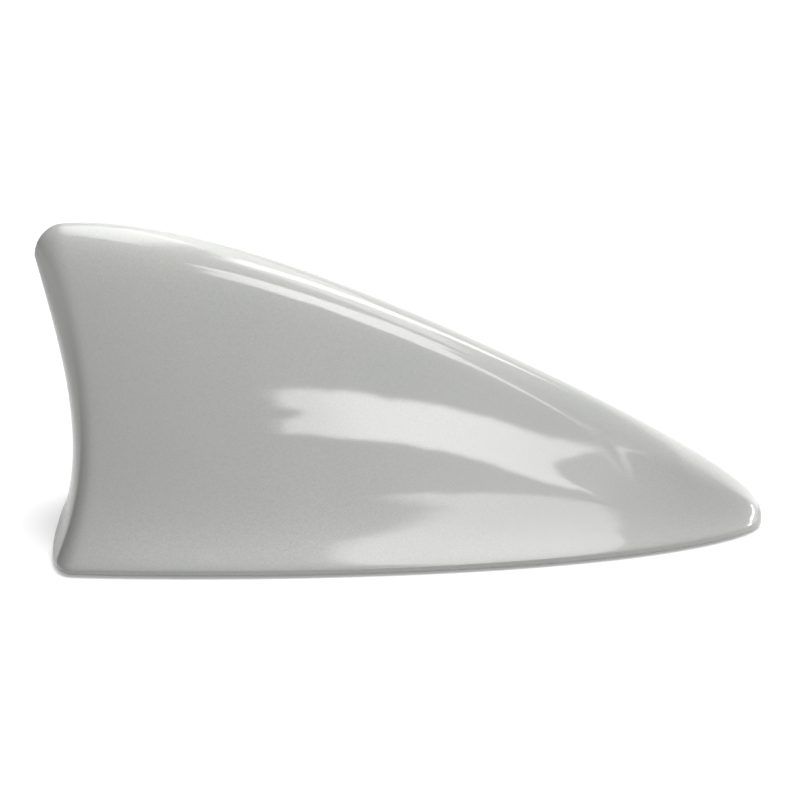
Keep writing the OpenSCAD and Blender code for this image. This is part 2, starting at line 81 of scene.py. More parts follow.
# %% [markdown]
# Many meshes below follow a rule: the cover is a loft of curves, the coil is a
# helix and the screws repeat. They could be modelled by hand or computed in
# Python, but Geometry Nodes keep each rule live and its sizes named. A tree has
# hundreds of small math nodes, so a number of the tree is wrapped in a class
# with plus, minus and times. A formula is then written as in plain Python, and
# each operation adds its node.

# %% Formulas for node trees
class Term:
    """One number of a node tree."""

    def __init__(self, tree, socket):
        self.tree, self.socket = tree, socket

    def __add__(self, other):
        return calc(self.tree, "ADD", self, other)

    def __sub__(self, other):
        return calc(self.tree, "SUBTRACT", self, other)

    def __rsub__(self, other):
        return calc(self.tree, "SUBTRACT", other, self)

    def __mul__(self, other):
        return calc(self.tree, "MULTIPLY", self, other)

    def __truediv__(self, other):
        return calc(self.tree, "DIVIDE", self, other)

    def __rtruediv__(self, other):
        return calc(self.tree, "DIVIDE", other, self)

    def __pow__(self, other):
        return calc(self.tree, "POWER", self, other)

    __radd__ = __add__
    __rmul__ = __mul__


def plug(tree, socket, value):
    """Gives a node's input a value, or a link from another node."""
    if isinstance(value, Term):
        value = value.socket
    if isinstance(value, bpy.types.NodeSocket):
        tree.links.new(value, socket)
    else:
        socket.default_value = value


def add(tree, kind, inputs=None, **settings):
    """Adds a node, with its settings and its inputs by name or number."""
    node = tree.nodes.new(kind)
    for name, value in settings.items():
        setattr(node, name, value)
    for key, value in (inputs or {}).items():
        plug(tree, node.inputs[key], value)
    return node


def calc(tree, operation, *values):
    node = add(tree, "ShaderNodeMath", dict(enumerate(values)), operation=operation)
    return Term(tree, node.outputs[0])



# %% [markdown]
# The fin's lines are smooth and have few turns, so a few control points steer
# each of them. Mixing neighbours again and again until one point is left gives
# such a curve, and it works on plain numbers and on terms of a tree alike.

# %% Curves
def mix(a, b, k):
    return a + (b - a) * k


def bezier(points, k):
    """Point at k on the curve with these control points, in one coordinate."""
    while len(points) > 1:
        points = [mix(a, b, k) for a, b in zip(points, points[1:])]
    return points[0]


print("middle of a curve over 0, 1 and 0:", bezier([0, 1, 0], 0.5))

# %% [markdown]
# Each tree gets its sizes as named inputs and ends in real faces with their
# material, because instances are lost when the model is exported. The result is
# then copied into a plain mesh, and the modifier goes.

# %% Trees that grow meshes
def new_tree(name, inputs):
    """A Geometry Nodes tree and its named inputs as terms."""
    tree = bpy.data.node_groups.new(name, "GeometryNodeTree")
    tree.interface.new_socket("Geometry", in_out="OUTPUT", socket_type="NodeSocketGeometry")
    for label, value in inputs.items():
        kind = "NodeSocketInt" if isinstance(value, int) else "NodeSocketFloat"
        tree.interface.new_socket(label, in_out="INPUT", socket_type=kind)
    source = tree.nodes.new("NodeGroupInput")
    return tree, {label: Term(tree, source.outputs[label]) for label in inputs}


def join(tree, *shapes):
    node = add(tree, "GeometryNodeJoinGeometry")
    for shape in shapes:
        tree.links.new(shape, node.inputs[0])
    return node.outputs[0]


def end_tree(tree, geometry, material, second=None):
    """Ends a tree in real geometry with its material, and a second one on marked faces."""
    real = add(tree, "GeometryNodeRealizeInstances", {0: geometry})
    painted = add(tree, "GeometryNodeSetMaterial", {"Geometry": real.outputs[0], "Material": material})
    if second:
        marked = add(tree, "GeometryNodeInputNamedAttribute", {"Name": "second"}, data_type="BOOLEAN")
        painted = add(tree, "GeometryNodeSetMaterial", {
            "Geometry": painted.outputs[0], "Selection": marked.outputs[0], "Material": second})
    add(tree, "NodeGroupOutput", {0: painted.outputs[0]})


def mark(tree, geometry):
    """Marks faces for the second material."""
    return add(tree, "GeometryNodeStoreNamedAttribute", {
        "Geometry": geometry, "Name": "second", "Value": True}, data_type="BOOLEAN", domain="FACE").outputs[0]


def grow(name, tree, inputs):
    """Runs a tree with these inputs and returns the result as a plain mesh object."""
    seed = bpy.data.objects.new(name, bpy.data.meshes.new(name))
    bpy.context.scene.collection.objects.link(seed)
    modifier = seed.modifiers.new("tree", "NODES")
    modifier.node_group = tree
    for item in tree.interface.items_tree:
        if item.in_out == "INPUT" and item.name in inputs:
            modifier[item.identifier] = inputs[item.name]
    bpy.context.view_layer.update()
    evaluated = seed.evaluated_get(bpy.context.evaluated_depsgraph_get())
    mesh = bpy.data.meshes.new_from_object(evaluated)
    mesh.name = name
    seed.modifiers.clear()
    seed.data = mesh
    print(name, "has", len(mesh.polygons), "faces")
    return seed


# %% [markdown]
# No surface of a real aerial is one even colour. Paint has flakes, moulded
# plastic a fine grain, metal a faint tarnish, and dust lies on what faces up.
# Images could show them, but patterns worked out from a point's place need no
# unwrapping and stay sharp from near. Each effect is a shader node group, built
# once, which puts out masks, heights or normals. The materials place it with
# their own sizes.

# %% Materials and groups
def new_material(name, color, roughness, metallic=0.0):
    material = bpy.data.materials.new(name)
    material.use_nodes = True
    shader = material.node_tree.nodes["Principled BSDF"]
    shader.inputs["Base Color"].default_value = (*color, 1)
    shader.inputs["Roughness"].default_value = roughness
    shader.inputs["Metallic"].default_value = metallic
    return material, shader


def new_group(name, inputs, outputs):
    """A shader group with named inputs and outputs, its inputs as terms and its output node."""
    tree = bpy.data.node_groups.new(name, "ShaderNodeTree")
    for label, value in inputs.items():
        tree.interface.new_socket(label, in_out="INPUT", socket_type="NodeSocketFloat").default_value = value
    for label, kind in outputs.items():
        tree.interface.new_socket(label, in_out="OUTPUT", socket_type="NodeSocket" + kind)
    source, end = tree.nodes.new("NodeGroupInput"), tree.nodes.new("NodeGroupOutput")
    return tree, {label: Term(tree, source.outputs[label]) for label in inputs}, end


def use_group(material, group, **sizes):
    """Places a group in a material with this material's sizes, and returns its outputs."""
    tree = material.node_tree
    node = tree.nodes.new("ShaderNodeGroup")
    node.node_tree = group
    for label, value in sizes.items():
        plug(tree, node.inputs[label], value)
    return {socket.name: Term(tree, socket) for socket in node.outputs}



# %% [markdown]
# Every pattern reads Object coordinates, which are in metres, so a size in
# millimetres is turned into a scale of 1000 over that size.

# %% Patterns
def tint(material, factor, dark, light):
    """A colour between two, by a factor from 0 to 1."""
    tree = material.node_tree
    node = add(tree, "ShaderNodeMix", {0: factor}, data_type="RGBA")
    for socket, color in ((node.inputs[6], dark), (node.inputs[7], light)):
        plug(tree, socket, (*color, 1) if isinstance(color, tuple) else color)
    return node.outputs[2]


def bump(material, shader, height, depth):
    """Bumps up to a depth in millimetres on the material's surface."""
    node = add(material.node_tree, "ShaderNodeBump", {"Height": height, "Distance": depth * MM})
    plug(material.node_tree, shader.inputs["Normal"], node.outputs["Normal"])


def noise(tree, size, detail=2):
    """Noise from 0 to 1 over the piece, with patches of a size in millimetres."""
    place = add(tree, "ShaderNodeTexCoord").outputs["Object"]
    node = add(tree, "ShaderNodeTexNoise", {"Vector": place, "Scale": 1000 / size, "Detail": detail})
    return Term(tree, node.outputs["Fac"])


def cells(tree, size):
    """Small cells of a size in millimetres, as the pattern's node."""
    place = add(tree, "ShaderNodeTexCoord").outputs["Object"]
    return add(tree, "ShaderNodeTexVoronoi", {"Vector": place, "Scale": 1000 / size})


def ramp(tree, value, low, high):
    """0 where value is under low and 1 over high, with a soft step between."""
    step = add(tree, "ShaderNodeMapRange", {"Value": value, "From Min": low, "From Max": high},
               interpolation_type="SMOOTHSTEP")
    return Term(tree, step.outputs["Result"])


# %% [markdown]
# Silver paint is full of tiny aluminium flakes that lie almost flat. Cells of
# their size each get a tone of their own and a slightly tilted normal.

# %% Flake group
FLAKE, size, end = new_group("flake", {"Size": 0.2, "Tilt": 0.1}, {"Normal": "Vector", "Tone": "Float"})
flake = cells(FLAKE, size["Size"])
to_middle = (-0.5, -0.5, -0.5)
straight = add(FLAKE, "ShaderNodeNewGeometry").outputs["Normal"]
centred = add(FLAKE, "ShaderNodeVectorMath", {0: flake.outputs["Color"], 1: to_middle}, operation="ADD")
tilted = add(FLAKE, "ShaderNodeVectorMath", {0: centred.outputs[0], "Scale": size["Tilt"]}, operation="SCALE")
summed = add(FLAKE, "ShaderNodeVectorMath", {0: straight, 1: tilted.outputs[0]}, operation="ADD")
flat = add(FLAKE, "ShaderNodeVectorMath", {0: summed.outputs[0]}, operation="NORMALIZE")
parts = add(FLAKE, "ShaderNodeSeparateXYZ", {0: flake.outputs["Color"]})
plug(FLAKE, end.inputs["Normal"], flat.outputs[0])
plug(FLAKE, end.inputs["Tone"], parts.outputs[0])
print("flake group has", len(FLAKE.nodes), "nodes")

# %% [markdown]
# Moulds are etched or blasted, which leaves fine pits in the plastic. Rubber and
# foam are softer, so the group can blend the pits into a gentle swell.

# %% Grain group
GRAIN, size, end = new_group("grain", {"Size": 0.4, "Softness": 0.5}, {"Height": "Float", "Tone": "Float"})
pits = Term(GRAIN, cells(GRAIN, size["Size"]).outputs["Distance"])
swell = noise(GRAIN, size["Size"] * 2, 3)
plug(GRAIN, end.inputs["Height"], mix(pits, swell, size["Softness"]))
plug(GRAIN, end.inputs["Tone"], noise(GRAIN, size["Size"] * 40))
print("grain group has", len(GRAIN.nodes), "nodes")

# %% [markdown]
# Dust settles on what faces up, in loose patches. The mask is strongest where
# the normal points up, and noise breaks it up.

# %% Dust group
DUST, size, end = new_group("dust", {"Size": 3, "Amount": 0.5}, {"Mask": "Float"})
facing = add(DUST, "ShaderNodeSeparateXYZ", {0: add(DUST, "ShaderNodeNewGeometry").outputs["Normal"]})
upward = ramp(DUST, Term(DUST, facing.outputs[2]), 0.1, 0.9)
specks = ramp(DUST, noise(DUST, size["Size"], 6), 0.45, 0.7)
plug(DUST, end.inputs["Mask"], (upward * 0.7 + 0.3) * specks * size["Amount"])
print("dust group has", len(DUST.nodes), "nodes")

# %% [markdown]
# Bare metal dulls in soft patches, and rolling or drawing leaves lines along it.
# Noise that is stretched along X gives the lines.

# %% Tarnish group
TARNISH, size, end = new_group("tarnish", {"Size": 4, "Drawn": 6}, {"Mask": "Float", "Height": "Float"})
place = add(TARNISH, "ShaderNodeSeparateXYZ", {0: add(TARNISH, "ShaderNodeTexCoord").outputs["Object"]})
x, y, z = (Term(TARNISH, place.outputs[axis]) for axis in range(3))
long = add(TARNISH, "ShaderNodeCombineXYZ", {0: x / size["Drawn"], 1: y, 2: z})
lines = add(TARNISH, "ShaderNodeTexNoise", {"Vector": long.outputs[0], "Scale": 9000, "Detail": 3})
plug(TARNISH, end.inputs["Mask"], ramp(TARNISH, noise(TARNISH, size["Size"], 4), 0.4, 0.75))
plug(TARNISH, end.inputs["Height"], Term(TARNISH, lines.outputs["Fac"]))
print("tarnish group has", len(TARNISH.nodes), "nodes")

# %% [markdown]
# The cover is sprayed in silver: fine flakes lie a little askew under a clear
# coat. So the body colour has small lighter and darker cells with tilted
# normals, while the coat on top stays smooth and mirrors the studio sharply.

# %% Gloss silver paint
paint, paint_shader = new_material("cover_paint", (0.34, 0.35, 0.325), 0.35)
flakes = use_group(paint, FLAKE, Size=0.22, Tilt=0.08)
cloud = noise(paint.node_tree, 28, 3)
silver = tint(paint, flakes["Tone"] * 0.4 + cloud * 0.6, (0.315, 0.325, 0.31), (0.37, 0.37, 0.352))
plug(paint.node_tree, paint_shader.inputs["Base Color"], silver)
plug(paint.node_tree, paint_shader.inputs["Roughness"], mix(0.33, 0.39, flakes["Tone"]))
plug(paint.node_tree, paint_shader.inputs["Normal"], flakes["Normal"])
paint_shader.inputs["Coat Weight"].default_value = 1
paint_shader.inputs["Coat Roughness"].default_value = 0.03
print("paint has", len(paint.node_tree.nodes), "nodes")

# %% [markdown]
# Plastics, rubbers, foam and ceramics differ in colour, grain and dust only.
# Thirteen materials by hand would drift apart, so one function makes these
# seven from a row of values each.

# %% Moulded and rubber finishes
def moulded(name, dark, light, roughness, grain, depth, dust, softness=0.5):
    """A finish with grain of a size and a depth in millimetres, and an amount of dust."""
    material, shader = new_material(name, dark, roughness)
    tree = material.node_tree
    skin = use_group(material, GRAIN, Size=grain, Softness=softness)
    settled = use_group(material, DUST, Size=2.5, Amount=dust)["Mask"]
    body = tint(material, ramp(tree, skin["Tone"], 0.3, 0.7), dark, light)
    plug(tree, shader.inputs["Base Color"], tint(material, settled, body, (0.3, 0.28, 0.25)))
    uneven = mix(roughness - 0.08, roughness + 0.08, skin["Height"])
    plug(tree, shader.inputs["Roughness"], uneven + settled * 0.2)
    bump(material, shader, skin["Height"], depth)
    return material


FINISH = {
    "base_black": moulded("base_black", (0.024, 0.024, 0.026), (0.034, 0.034, 0.036), 0.5, 0.35, 0.03, 0.05),
    "seal_rubber": moulded(
        "seal_rubber", (0.016, 0.016, 0.016), (0.028, 0.028, 0.027), 0.68, 0.8, 0.02, 0.07, 0.9),
    "foam_tape": moulded("foam_tape", (0.04, 0.04, 0.042), (0.062, 0.062, 0.064), 0.9, 0.5, 0.12, 0.04, 0.1),
    "holder_white": moulded("holder_white", (0.72, 0.71, 0.66), (0.8, 0.79, 0.74), 0.42, 0.6, 0.01, 0.08),
    "chip_black": moulded("chip_black", (0.016, 0.016, 0.018), (0.026, 0.026, 0.028), 0.55, 0.12, 0.01, 0.1),
    "chip_ceramic": moulded("chip_ceramic", (0.4, 0.29, 0.19), (0.48, 0.36, 0.25), 0.5, 0.1, 0.008, 0.05),
    "ferrite": moulded("ferrite", (0.085, 0.075, 0.07), (0.12, 0.11, 0.1), 0.6, 0.15, 0.02, 0.1),
}
print("moulded finishes:", ", ".join(FINISH))

# %% [markdown]
# The metals are plated or drawn. Tarnish darkens them in soft patches and makes
# them rougher there, and fine lines run along them as the mill left them. The
# coil's wire is copper under clear enamel, which is a thin coat on the metal.

# %% Metals
def plated(name, clean, aged, roughness, patch, depth, drawn=6):
    """A metal with patches of a size and drawn lines of a depth, in millimetres."""
    material, shader = new_material(name, clean, roughness, 1.0)
    tree = material.node_tree
    age = use_group(material, TARNISH, Size=patch, Drawn=drawn)
    plug(tree, shader.inputs["Base Color"], tint(material, age["Mask"], clean, aged))
    plug(tree, shader.inputs["Roughness"], mix(roughness, roughness + 0.2, age["Mask"]))
    bump(material, shader, age["Height"], depth)
    return material, shader


FINISH["tin_sheet"], _ = plated("tin_sheet", (0.68, 0.69, 0.7), (0.5, 0.5, 0.49), 0.28, 5, 0.004, 12)
FINISH["nickel_brass"], _ = plated("nickel_brass", (0.74, 0.6, 0.32), (0.55, 0.4, 0.2), 0.25, 2, 0.003, 1)
FINISH["screw_steel"], _ = plated("screw_steel", (0.58, 0.59, 0.6), (0.42, 0.41, 0.38), 0.32, 1.5, 0.004, 1)
FINISH["copper_wire"], enamel = plated("copper_wire", (0.74, 0.36, 0.18), (0.55, 0.22, 0.1), 0.3, 6, 0.002, 1)
enamel.inputs["Coat Weight"].default_value = 0.8
enamel.inputs["Coat Roughness"].default_value = 0.1
print("metals:", ", ".join(list(FINISH)[-4:]))

# %% [markdown]
# A board is glass fibre with copper tracks under green lacquer. The tracks are
# lighter lines on a pitch: each row of them is cut into stretches, and chance
# decides which stretches are there. Tinned rings lie round the screws and
# small tinned vias between the tracks.

# %% Circuit board
BOARD_SCREWS = [(-56, 0), (-22, 0), (22, 10.5), (22, -10.5)]
TRACK_PITCH, TRACK_CUT, CROSS_PITCH, CROSS_CUT, VIA_PITCH, RING_R = 1.1, 9, 2.2, 5, 3.3, 2.75
board, board_shader = new_material("board_green", (0.02, 0.13, 0.05), 0.35)
tree = board.node_tree
place = add(tree, "ShaderNodeSeparateXYZ", {0: add(tree, "ShaderNodeTexCoord").outputs["Object"]})
x, y = (Term(tree, place.outputs[axis]) * 1000 for axis in (0, 1))


def chance(a, b):
    """The same random number from 0 to 1 all over a cell."""
    cell = add(tree, "ShaderNodeCombineXYZ", {0: calc(tree, "FLOOR", a), 1: calc(tree, "FLOOR", b)})
    return Term(tree, add(tree, "ShaderNodeTexWhiteNoise", {"Vector": cell.outputs[0]}).outputs["Value"])


def beside(value):
    """Distance from the middle of a cell."""
    return calc(tree, "ABSOLUTE", calc(tree, "FRACT", value) - 0.5)


def range_to(a, b):
    """Distance from a point on the board in millimetres."""
    return calc(tree, "SQRT", (x - a) * (x - a) + (y - b) * (y - b))


along = 1 - ramp(tree, beside(y / TRACK_PITCH), 0.14, 0.18)
along = along * ramp(tree, chance(x / TRACK_CUT, y / TRACK_PITCH), 0.55, 0.56)
cross = 1 - ramp(tree, beside(x / CROSS_PITCH), 0.08, 0.11)
cross = cross * ramp(tree, chance(x / CROSS_PITCH, y / CROSS_CUT), 0.72, 0.73)
tracks = calc(tree, "MAXIMUM", along, cross)
via_x, via_y = beside(x / VIA_PITCH), beside(y / VIA_PITCH)
via = 1 - ramp(tree, via_x * via_x + via_y * via_y, 0.008, 0.011)
vias = via * ramp(tree, chance(x / VIA_PITCH, y / VIA_PITCH), 0.7, 0.71)
rings = 0
for at in BOARD_SCREWS:
    ring = 1 - ramp(tree, range_to(*at), RING_R, RING_R + 0.05)
    rings = calc(tree, "MAXIMUM", rings, ring)
tinned = calc(tree, "MAXIMUM", vias, rings)
fibre = use_group(board, GRAIN, Size=0.25, Softness=0.3)
lacquer = tint(board, tracks * 0.8 + fibre["Height"] * 0.2, (0.012, 0.1, 0.038), (0.04, 0.24, 0.09))
plug(tree, board_shader.inputs["Base Color"], tint(board, tinned, lacquer, (0.6, 0.6, 0.58)))
plug(tree, board_shader.inputs["Metallic"], tinned)
bump(board, board_shader, tracks * 0.6 + tinned * 0.6 + fibre["Height"] * 0.2, 0.03)
FINISH["board_green"] = board
print("board has", len(tree.nodes), "nodes")

# %% [markdown]
# The cover is one glossy moulding, so its highlights show every dent of its
# mesh. Sculpting or a subdivided cage would be hard to get that even. It is a
# loft instead: seen from the side it lies between four curves, rim, ridge, tail
# and nose, and its sections flare from a thin blade to a wide foot. RIDGE and
# PLAN hold shares of the length, height and width. FLARE, HIP, WAIST and NECK
# steer the sections, each with a value at the tail and one at the nose.

# %% Cover's sizes and curves
COVER = {
    "Length": 165 * MM, "Height": 71.5 * MM, "Foot Width": 75 * MM,
    "Tail Inset": 3.8 * MM, "Tail Hollow": 5.6 * MM, "Tip Rounding": 6.5 * MM,
    "Ridge Half Width": 4.3 * MM, "Tail Corner": 6.5 * MM, "Wall": 2.2 * MM, "Rim Gap": 0.6 * MM,
    "Rim Band": 1.2 * MM, "Rim Rounding": 0.5 * MM, "Columns": 180, "Rows": 100,
}
RIDGE_X = [-0.5, -0.345, -0.08, 0.17, 0.5, 0.5]
RIDGE_Z = [0.984, 1.061, 0.893, 0.502, 0.234, 0.03]
PLAN_X = [-0.32, 0, 0.36, 0.5, 0.5]
PLAN_W = [0.96, 1.04, 1.06, 0.89, 0.2, 0]
FLARE_W, FLARE_Z = (0.666, 0.885), (0.173, 0.125)
HIP_W, HIP_Z = (0.673, 0.865), (0.176, 0.371)
WAIST_W, WAIST_Z = (0.497, 0.835), (0.429, 0.553)
NECK_W, NECK_Z = (0.106, 0.826), (0.814, 0.967)
CROWN_BULGE, CROWN_DROP, CROWN_SHARE = 2.354, 3.469, 0.5
DOME_POWER, RIDGE_SHARE, RIM_LIP = 4.35, 0.3, 1.2 * MM
CORNER_POWER, CORNER_COLUMNS = 2.6, 0.15
BAND_ROWS = 0.1


def top_of(points):
    return max(bezier(points, k / 200) for k in range(201))


print("ridge tops out at", round(top_of(RIDGE_Z), 3), "and the foot at", round(top_of(PLAN_W), 3))

# %% [markdown]
# A flat grid is laid over these rules. Its columns run from the middle of the
# tail round the corner and along the flank, and its rows from rim to ridge. The
# four edge curves are blended into a patch: both pairs of facing curves are
# mixed across, added up, and the flat mix of the corners is taken off.

# %% One flank of the cover
def cover_flank(tree, size):
    length, gap = size["Length"], size["Rim Gap"]
    grid = add(tree, "GeometryNodeMeshGrid", {
        "Size X": 1, "Size Y": 1, "Vertices X": size["Columns"], "Vertices Y": size["Rows"]})
    place = add(tree, "ShaderNodeSeparateXYZ", {0: add(tree, "GeometryNodeInputPosition").outputs[0]})
    column, row = (Term(tree, place.outputs[axis]) + 0.5 for axis in (0, 1))

    tip_x, nose_x = length * -0.5, length * 0.5
    foot_x = tip_x + size["Tail Inset"]
    plan_x = [foot_x] + [x * length for x in PLAN_X]
    corner = size["Tail Corner"] / (5 * (plan_x[1] - plan_x[0]))
    angle = calc(tree, "MINIMUM", column / CORNER_COLUMNS, 1) * (math.pi / 2)
    cosine = calc(tree, "MAXIMUM", calc(tree, "COSINE", angle), 0)
    around = calc(tree, "SINE", angle) ** (2 / CORNER_POWER)
    past = calc(tree, "MAXIMUM", (column - CORNER_COLUMNS) / (1 - CORNER_COLUMNS), 0)
    u = corner * (1 - cosine ** (2 / CORNER_POWER)) + (1 - corner) * past
    up = calc(tree, "MAXIMUM", (row - BAND_ROWS) / (1 - BAND_ROWS), 0)
    t = (1 - calc(tree, "COSINE", up * math.pi)) * 0.5

    rise = (size["Height"] - gap) / top_of(RIDGE_Z)
    ridge_x = bezier(RIDGE_X, u) * length
    bend = calc(tree, "MAXIMUM", 1 - (ridge_x - tip_x) / size["Tip Rounding"], 0)
    dip = size["Tip Rounding"] * (1 - calc(tree, "SQRT", 1 - bend * bend))
    ridge_z = bezier(RIDGE_Z, u) * rise + gap - dip
    rim_x = bezier(plan_x, u)
    half = bezier(PLAN_W, u) * size["Foot Width"] * (0.5 / top_of(PLAN_W))

    lip_z = gap + size["Rim Band"]
    height = ridge_z - lip_z
    dome = u ** DOME_POWER
    low = calc(tree, "MINIMUM", RIM_LIP / height, 0.3)
    crown = calc(tree, "MINIMUM", size["Ridge Half Width"], half * RIDGE_SHARE)
    drop = calc(tree, "MINIMUM", CROWN_DROP * crown / height, CROWN_SHARE)
    steered = [half * mix(*ends, dome) for ends in (FLARE_W, HIP_W, WAIST_W, NECK_W)]
    across = bezier([half, half, *steered, crown * CROWN_BULGE, crown, 0], t)
    steered = [mix(*ends, dome) for ends in (FLARE_Z, HIP_Z, WAIST_Z, NECK_Z)]
    s = bezier([0, low, *steered, 1 - drop, 1, 1], t)

    tail_z = RIDGE_Z[0] * rise + gap - size["Tip Rounding"]
    end_z = RIDGE_Z[-1] * rise + gap
    tail = (bezier([foot_x, foot_x + size["Tail Hollow"] * 1.55, tip_x + size["Tail Hollow"], tip_x], s),
            bezier([lip_z, mix(lip_z, tail_z, 0.29), mix(lip_z, tail_z, 0.62), tail_z], s))
    rim, ridge, nose = (rim_x, lip_z), (ridge_x, ridge_z), (nose_x, mix(lip_z, end_z, s))
    corners = ((foot_x, lip_z), (nose_x, lip_z), (tip_x, tail_z), (nose_x, end_z))

    def patch(k):
        low_end, low_nose, high_end, high_nose = (c[k] for c in corners)
        flat = mix(mix(low_end, low_nose, u), mix(high_end, high_nose, u), s)
        return mix(rim[k], ridge[k], s) + mix(tail[k], nose[k], u) - flat

    fall = size["Rim Band"] * (1 - calc(tree, "MINIMUM", row / BAND_ROWS, 1))
    below = calc(tree, "MAXIMUM", (fall - size["Rim Band"]) / size["Rim Rounding"] + 1, 0)
    inset = size["Rim Rounding"] * (1 - calc(tree, "SQRT", 1 - below * below))
    point = add(tree, "ShaderNodeCombineXYZ", {
        0: patch(0) * (1 - inset / nose_x), 1: across * around * (1 - inset / (size["Foot Width"] * 0.5)),
        2: patch(1) - fall})
    return add(tree, "GeometryNodeSetPosition", {
        "Geometry": grid.outputs["Mesh"], "Position": point.outputs[0]}).outputs[0]


# %% [markdown]
# The other flank is the mirror image, and a mirror turns faces inside out, so
# one side is flipped. The wall is this skin moved inwards and flipped again. In
# the thin ridge and nose both inner sides would cross, so each point remembers
# its side and stays clear of the middle. What would hang below the rim is
# raised to it.

# %% Cover from two flanks
WELD, MIDDLE, CLEAR_OF_MIDDLE = 0.0004 * MM, 0.001 * MM, 0.1 * MM


def cover_tree():
    tree, size = new_tree("cover_tree", COVER)
    flank = cover_flank(tree, size)
    other = add(tree, "GeometryNodeTransform", {"Geometry": flank, "Scale": (1, -1, 1)})
    flipped = add(tree, "GeometryNodeFlipFaces", {0: flank})
    both = join(tree, other.outputs[0], flipped.outputs[0])
    skin = add(tree, "GeometryNodeMergeByDistance", {"Geometry": both, "Distance": WELD})

    here = add(tree, "ShaderNodeSeparateXYZ", {0: add(tree, "GeometryNodeInputPosition").outputs[0]})
    known = add(tree, "GeometryNodeStoreNamedAttribute", {
        "Geometry": skin.outputs[0], "Name": "side", "Value": here.outputs[1]},
        data_type="FLOAT", domain="POINT")
    inner = add(tree, "GeometryNodeExtrudeMesh", {
        "Mesh": known.outputs[0], "Offset Scale": size["Wall"] * -1, "Individual": False})
    stored = add(tree, "GeometryNodeInputNamedAttribute", {"Name": "side"}, data_type="FLOAT")
    side = Term(tree, stored.outputs[0])
    off_middle = calc(tree, "GREATER_THAN", calc(tree, "ABSOLUTE", side), MIDDLE)
    flank_side = calc(tree, "SIGN", side)
    out = calc(tree, "MAXIMUM", flank_side * Term(tree, here.outputs[1]), CLEAR_OF_MIDDLE)
    held = out * flank_side * off_middle
    kept = add(tree, "ShaderNodeCombineXYZ", {0: here.outputs[0], 1: held, 2: here.outputs[2]})
    apart = add(tree, "GeometryNodeSetPosition", {
        "Geometry": inner.outputs[0], "Selection": inner.outputs["Top"], "Position": kept.outputs[0]})
    inside = add(tree, "GeometryNodeFlipFaces", {0: apart.outputs[0]})
    walls = join(tree, skin.outputs[0], inside.outputs[0])
    level = calc(tree, "MAXIMUM", Term(tree, here.outputs[2]), size["Rim Gap"])
    kept = add(tree, "ShaderNodeCombineXYZ", {0: here.outputs[0], 1: here.outputs[1], 2: level})
    trimmed = add(tree, "GeometryNodeSetPosition", {"Geometry": walls, "Position": kept.outputs[0]})
    whole = add(tree, "GeometryNodeMergeByDistance", {"Geometry": trimmed.outputs[0], "Distance": WELD})
    smooth = add(tree, "GeometryNodeSetShadeSmooth", {"Geometry": whole.outputs[0]})
    end_tree(tree, smooth.outputs[0], paint)
    return tree


cover = grow("cover", cover_tree(), COVER)

# %% [markdown]
# Four bosses for the cover's screws stand in the cover, moulded in one with it.
# Each is a tube whose top follows the wall: rays from its foot find the wall's
# inner and outer face, and the tube ends halfway between them. A boolean union
# then makes cover and bosses one closed skin.

# %% Screw bosses
BOSSES = [(-54.9, 20.22), (-54.9, -20.22), (42.85, 11.91), (42.85, -11.91)]
BOSS_R, PILOT_R, BOSS_FOOT, PILOT_TOP, AROUND = 3.3, 1.4, 3.6, 9.6, 40


def wall_middle(tree, x, y):
    """Height of the middle of the cover's wall over a point, in metres."""
    low = tree.ray_cast(Vector((x, y, BOSS_FOOT * MM)), Vector((0, 0, 1)))[0].z
    high = tree.ray_cast(Vector((x, y, low + 0.01 * MM)), Vector((0, 0, 1)))[0].z
    return (low + high) / 2


def boss_mesh(tree, x, y):
    """A tube with a blind hole from below, as a mesh of rings from the hole's top outwards."""
    rings = [(0, PILOT_TOP), (PILOT_R, PILOT_TOP), (PILOT_R, BOSS_FOOT), (BOSS_R, BOSS_FOOT),
             (BOSS_R, None), (BOSS_R / 2, None), (0, None)]
    mesh = bmesh.new()
    rows = []
    for radius, z in rings:
        spots = []
        for k in range(AROUND if radius else 1):
            angle = 2 * math.pi * k / AROUND
            px, py = (x + radius * math.cos(angle)) * MM, (y + radius * math.sin(angle)) * MM
            spots.append(mesh.verts.new((px, py, wall_middle(tree, px, py) if z is None else z * MM)))
        rows.append(spots)
    for lower, upper in zip(rows, rows[1:]):
        for k in range(AROUND):
            around = ((lower, k), (lower, k + 1), (upper, k + 1), (upper, k))
            mesh.faces.new(dict.fromkeys(row[n % len(row)] for row, n in around))
    bmesh.ops.recalc_face_normals(mesh, faces=mesh.faces)
    return mesh


print(len(BOSSES), "bosses from", BOSS_FOOT, "mm up")

# %% [markdown]
# A boolean union needs closed shapes. A sliver left by the weld at the nose
# hangs on one edge only, so faces with a free edge go first.

# %% Union of cover and bosses
skin = bmesh.new()
skin.from_mesh(cover.data)
stray = {face for edge in skin.edges if len(edge.link_faces) == 1 for face in edge.link_faces}
bmesh.ops.delete(skin, geom=list(stray), context="FACES")
skin.to_mesh(cover.data)
walls = BVHTree.FromBMesh(skin)
open_edges = sum(not edge.is_manifold for edge in skin.edges)
skin.free()
together = bmesh.new()
for at in BOSSES:
    boss = boss_mesh(walls, *at)
    piece = bpy.data.meshes.new("boss")
    boss.to_mesh(piece)
    boss.free()
    together.from_mesh(piece)
boss_data = bpy.data.meshes.new("bosses")
together.to_mesh(boss_data)
together.free()
bosses = bpy.data.objects.new("bosses", boss_data)
bpy.context.scene.collection.objects.link(bosses)
union = cover.modifiers.new("bosses", "BOOLEAN")
union.operation, union.solver, union.object = "UNION", "MANIFOLD", bosses
bpy.context.view_layer.update()
joined = bpy.data.meshes.new_from_object(cover.evaluated_get(bpy.context.evaluated_depsgraph_get()))
cover.modifiers.clear()
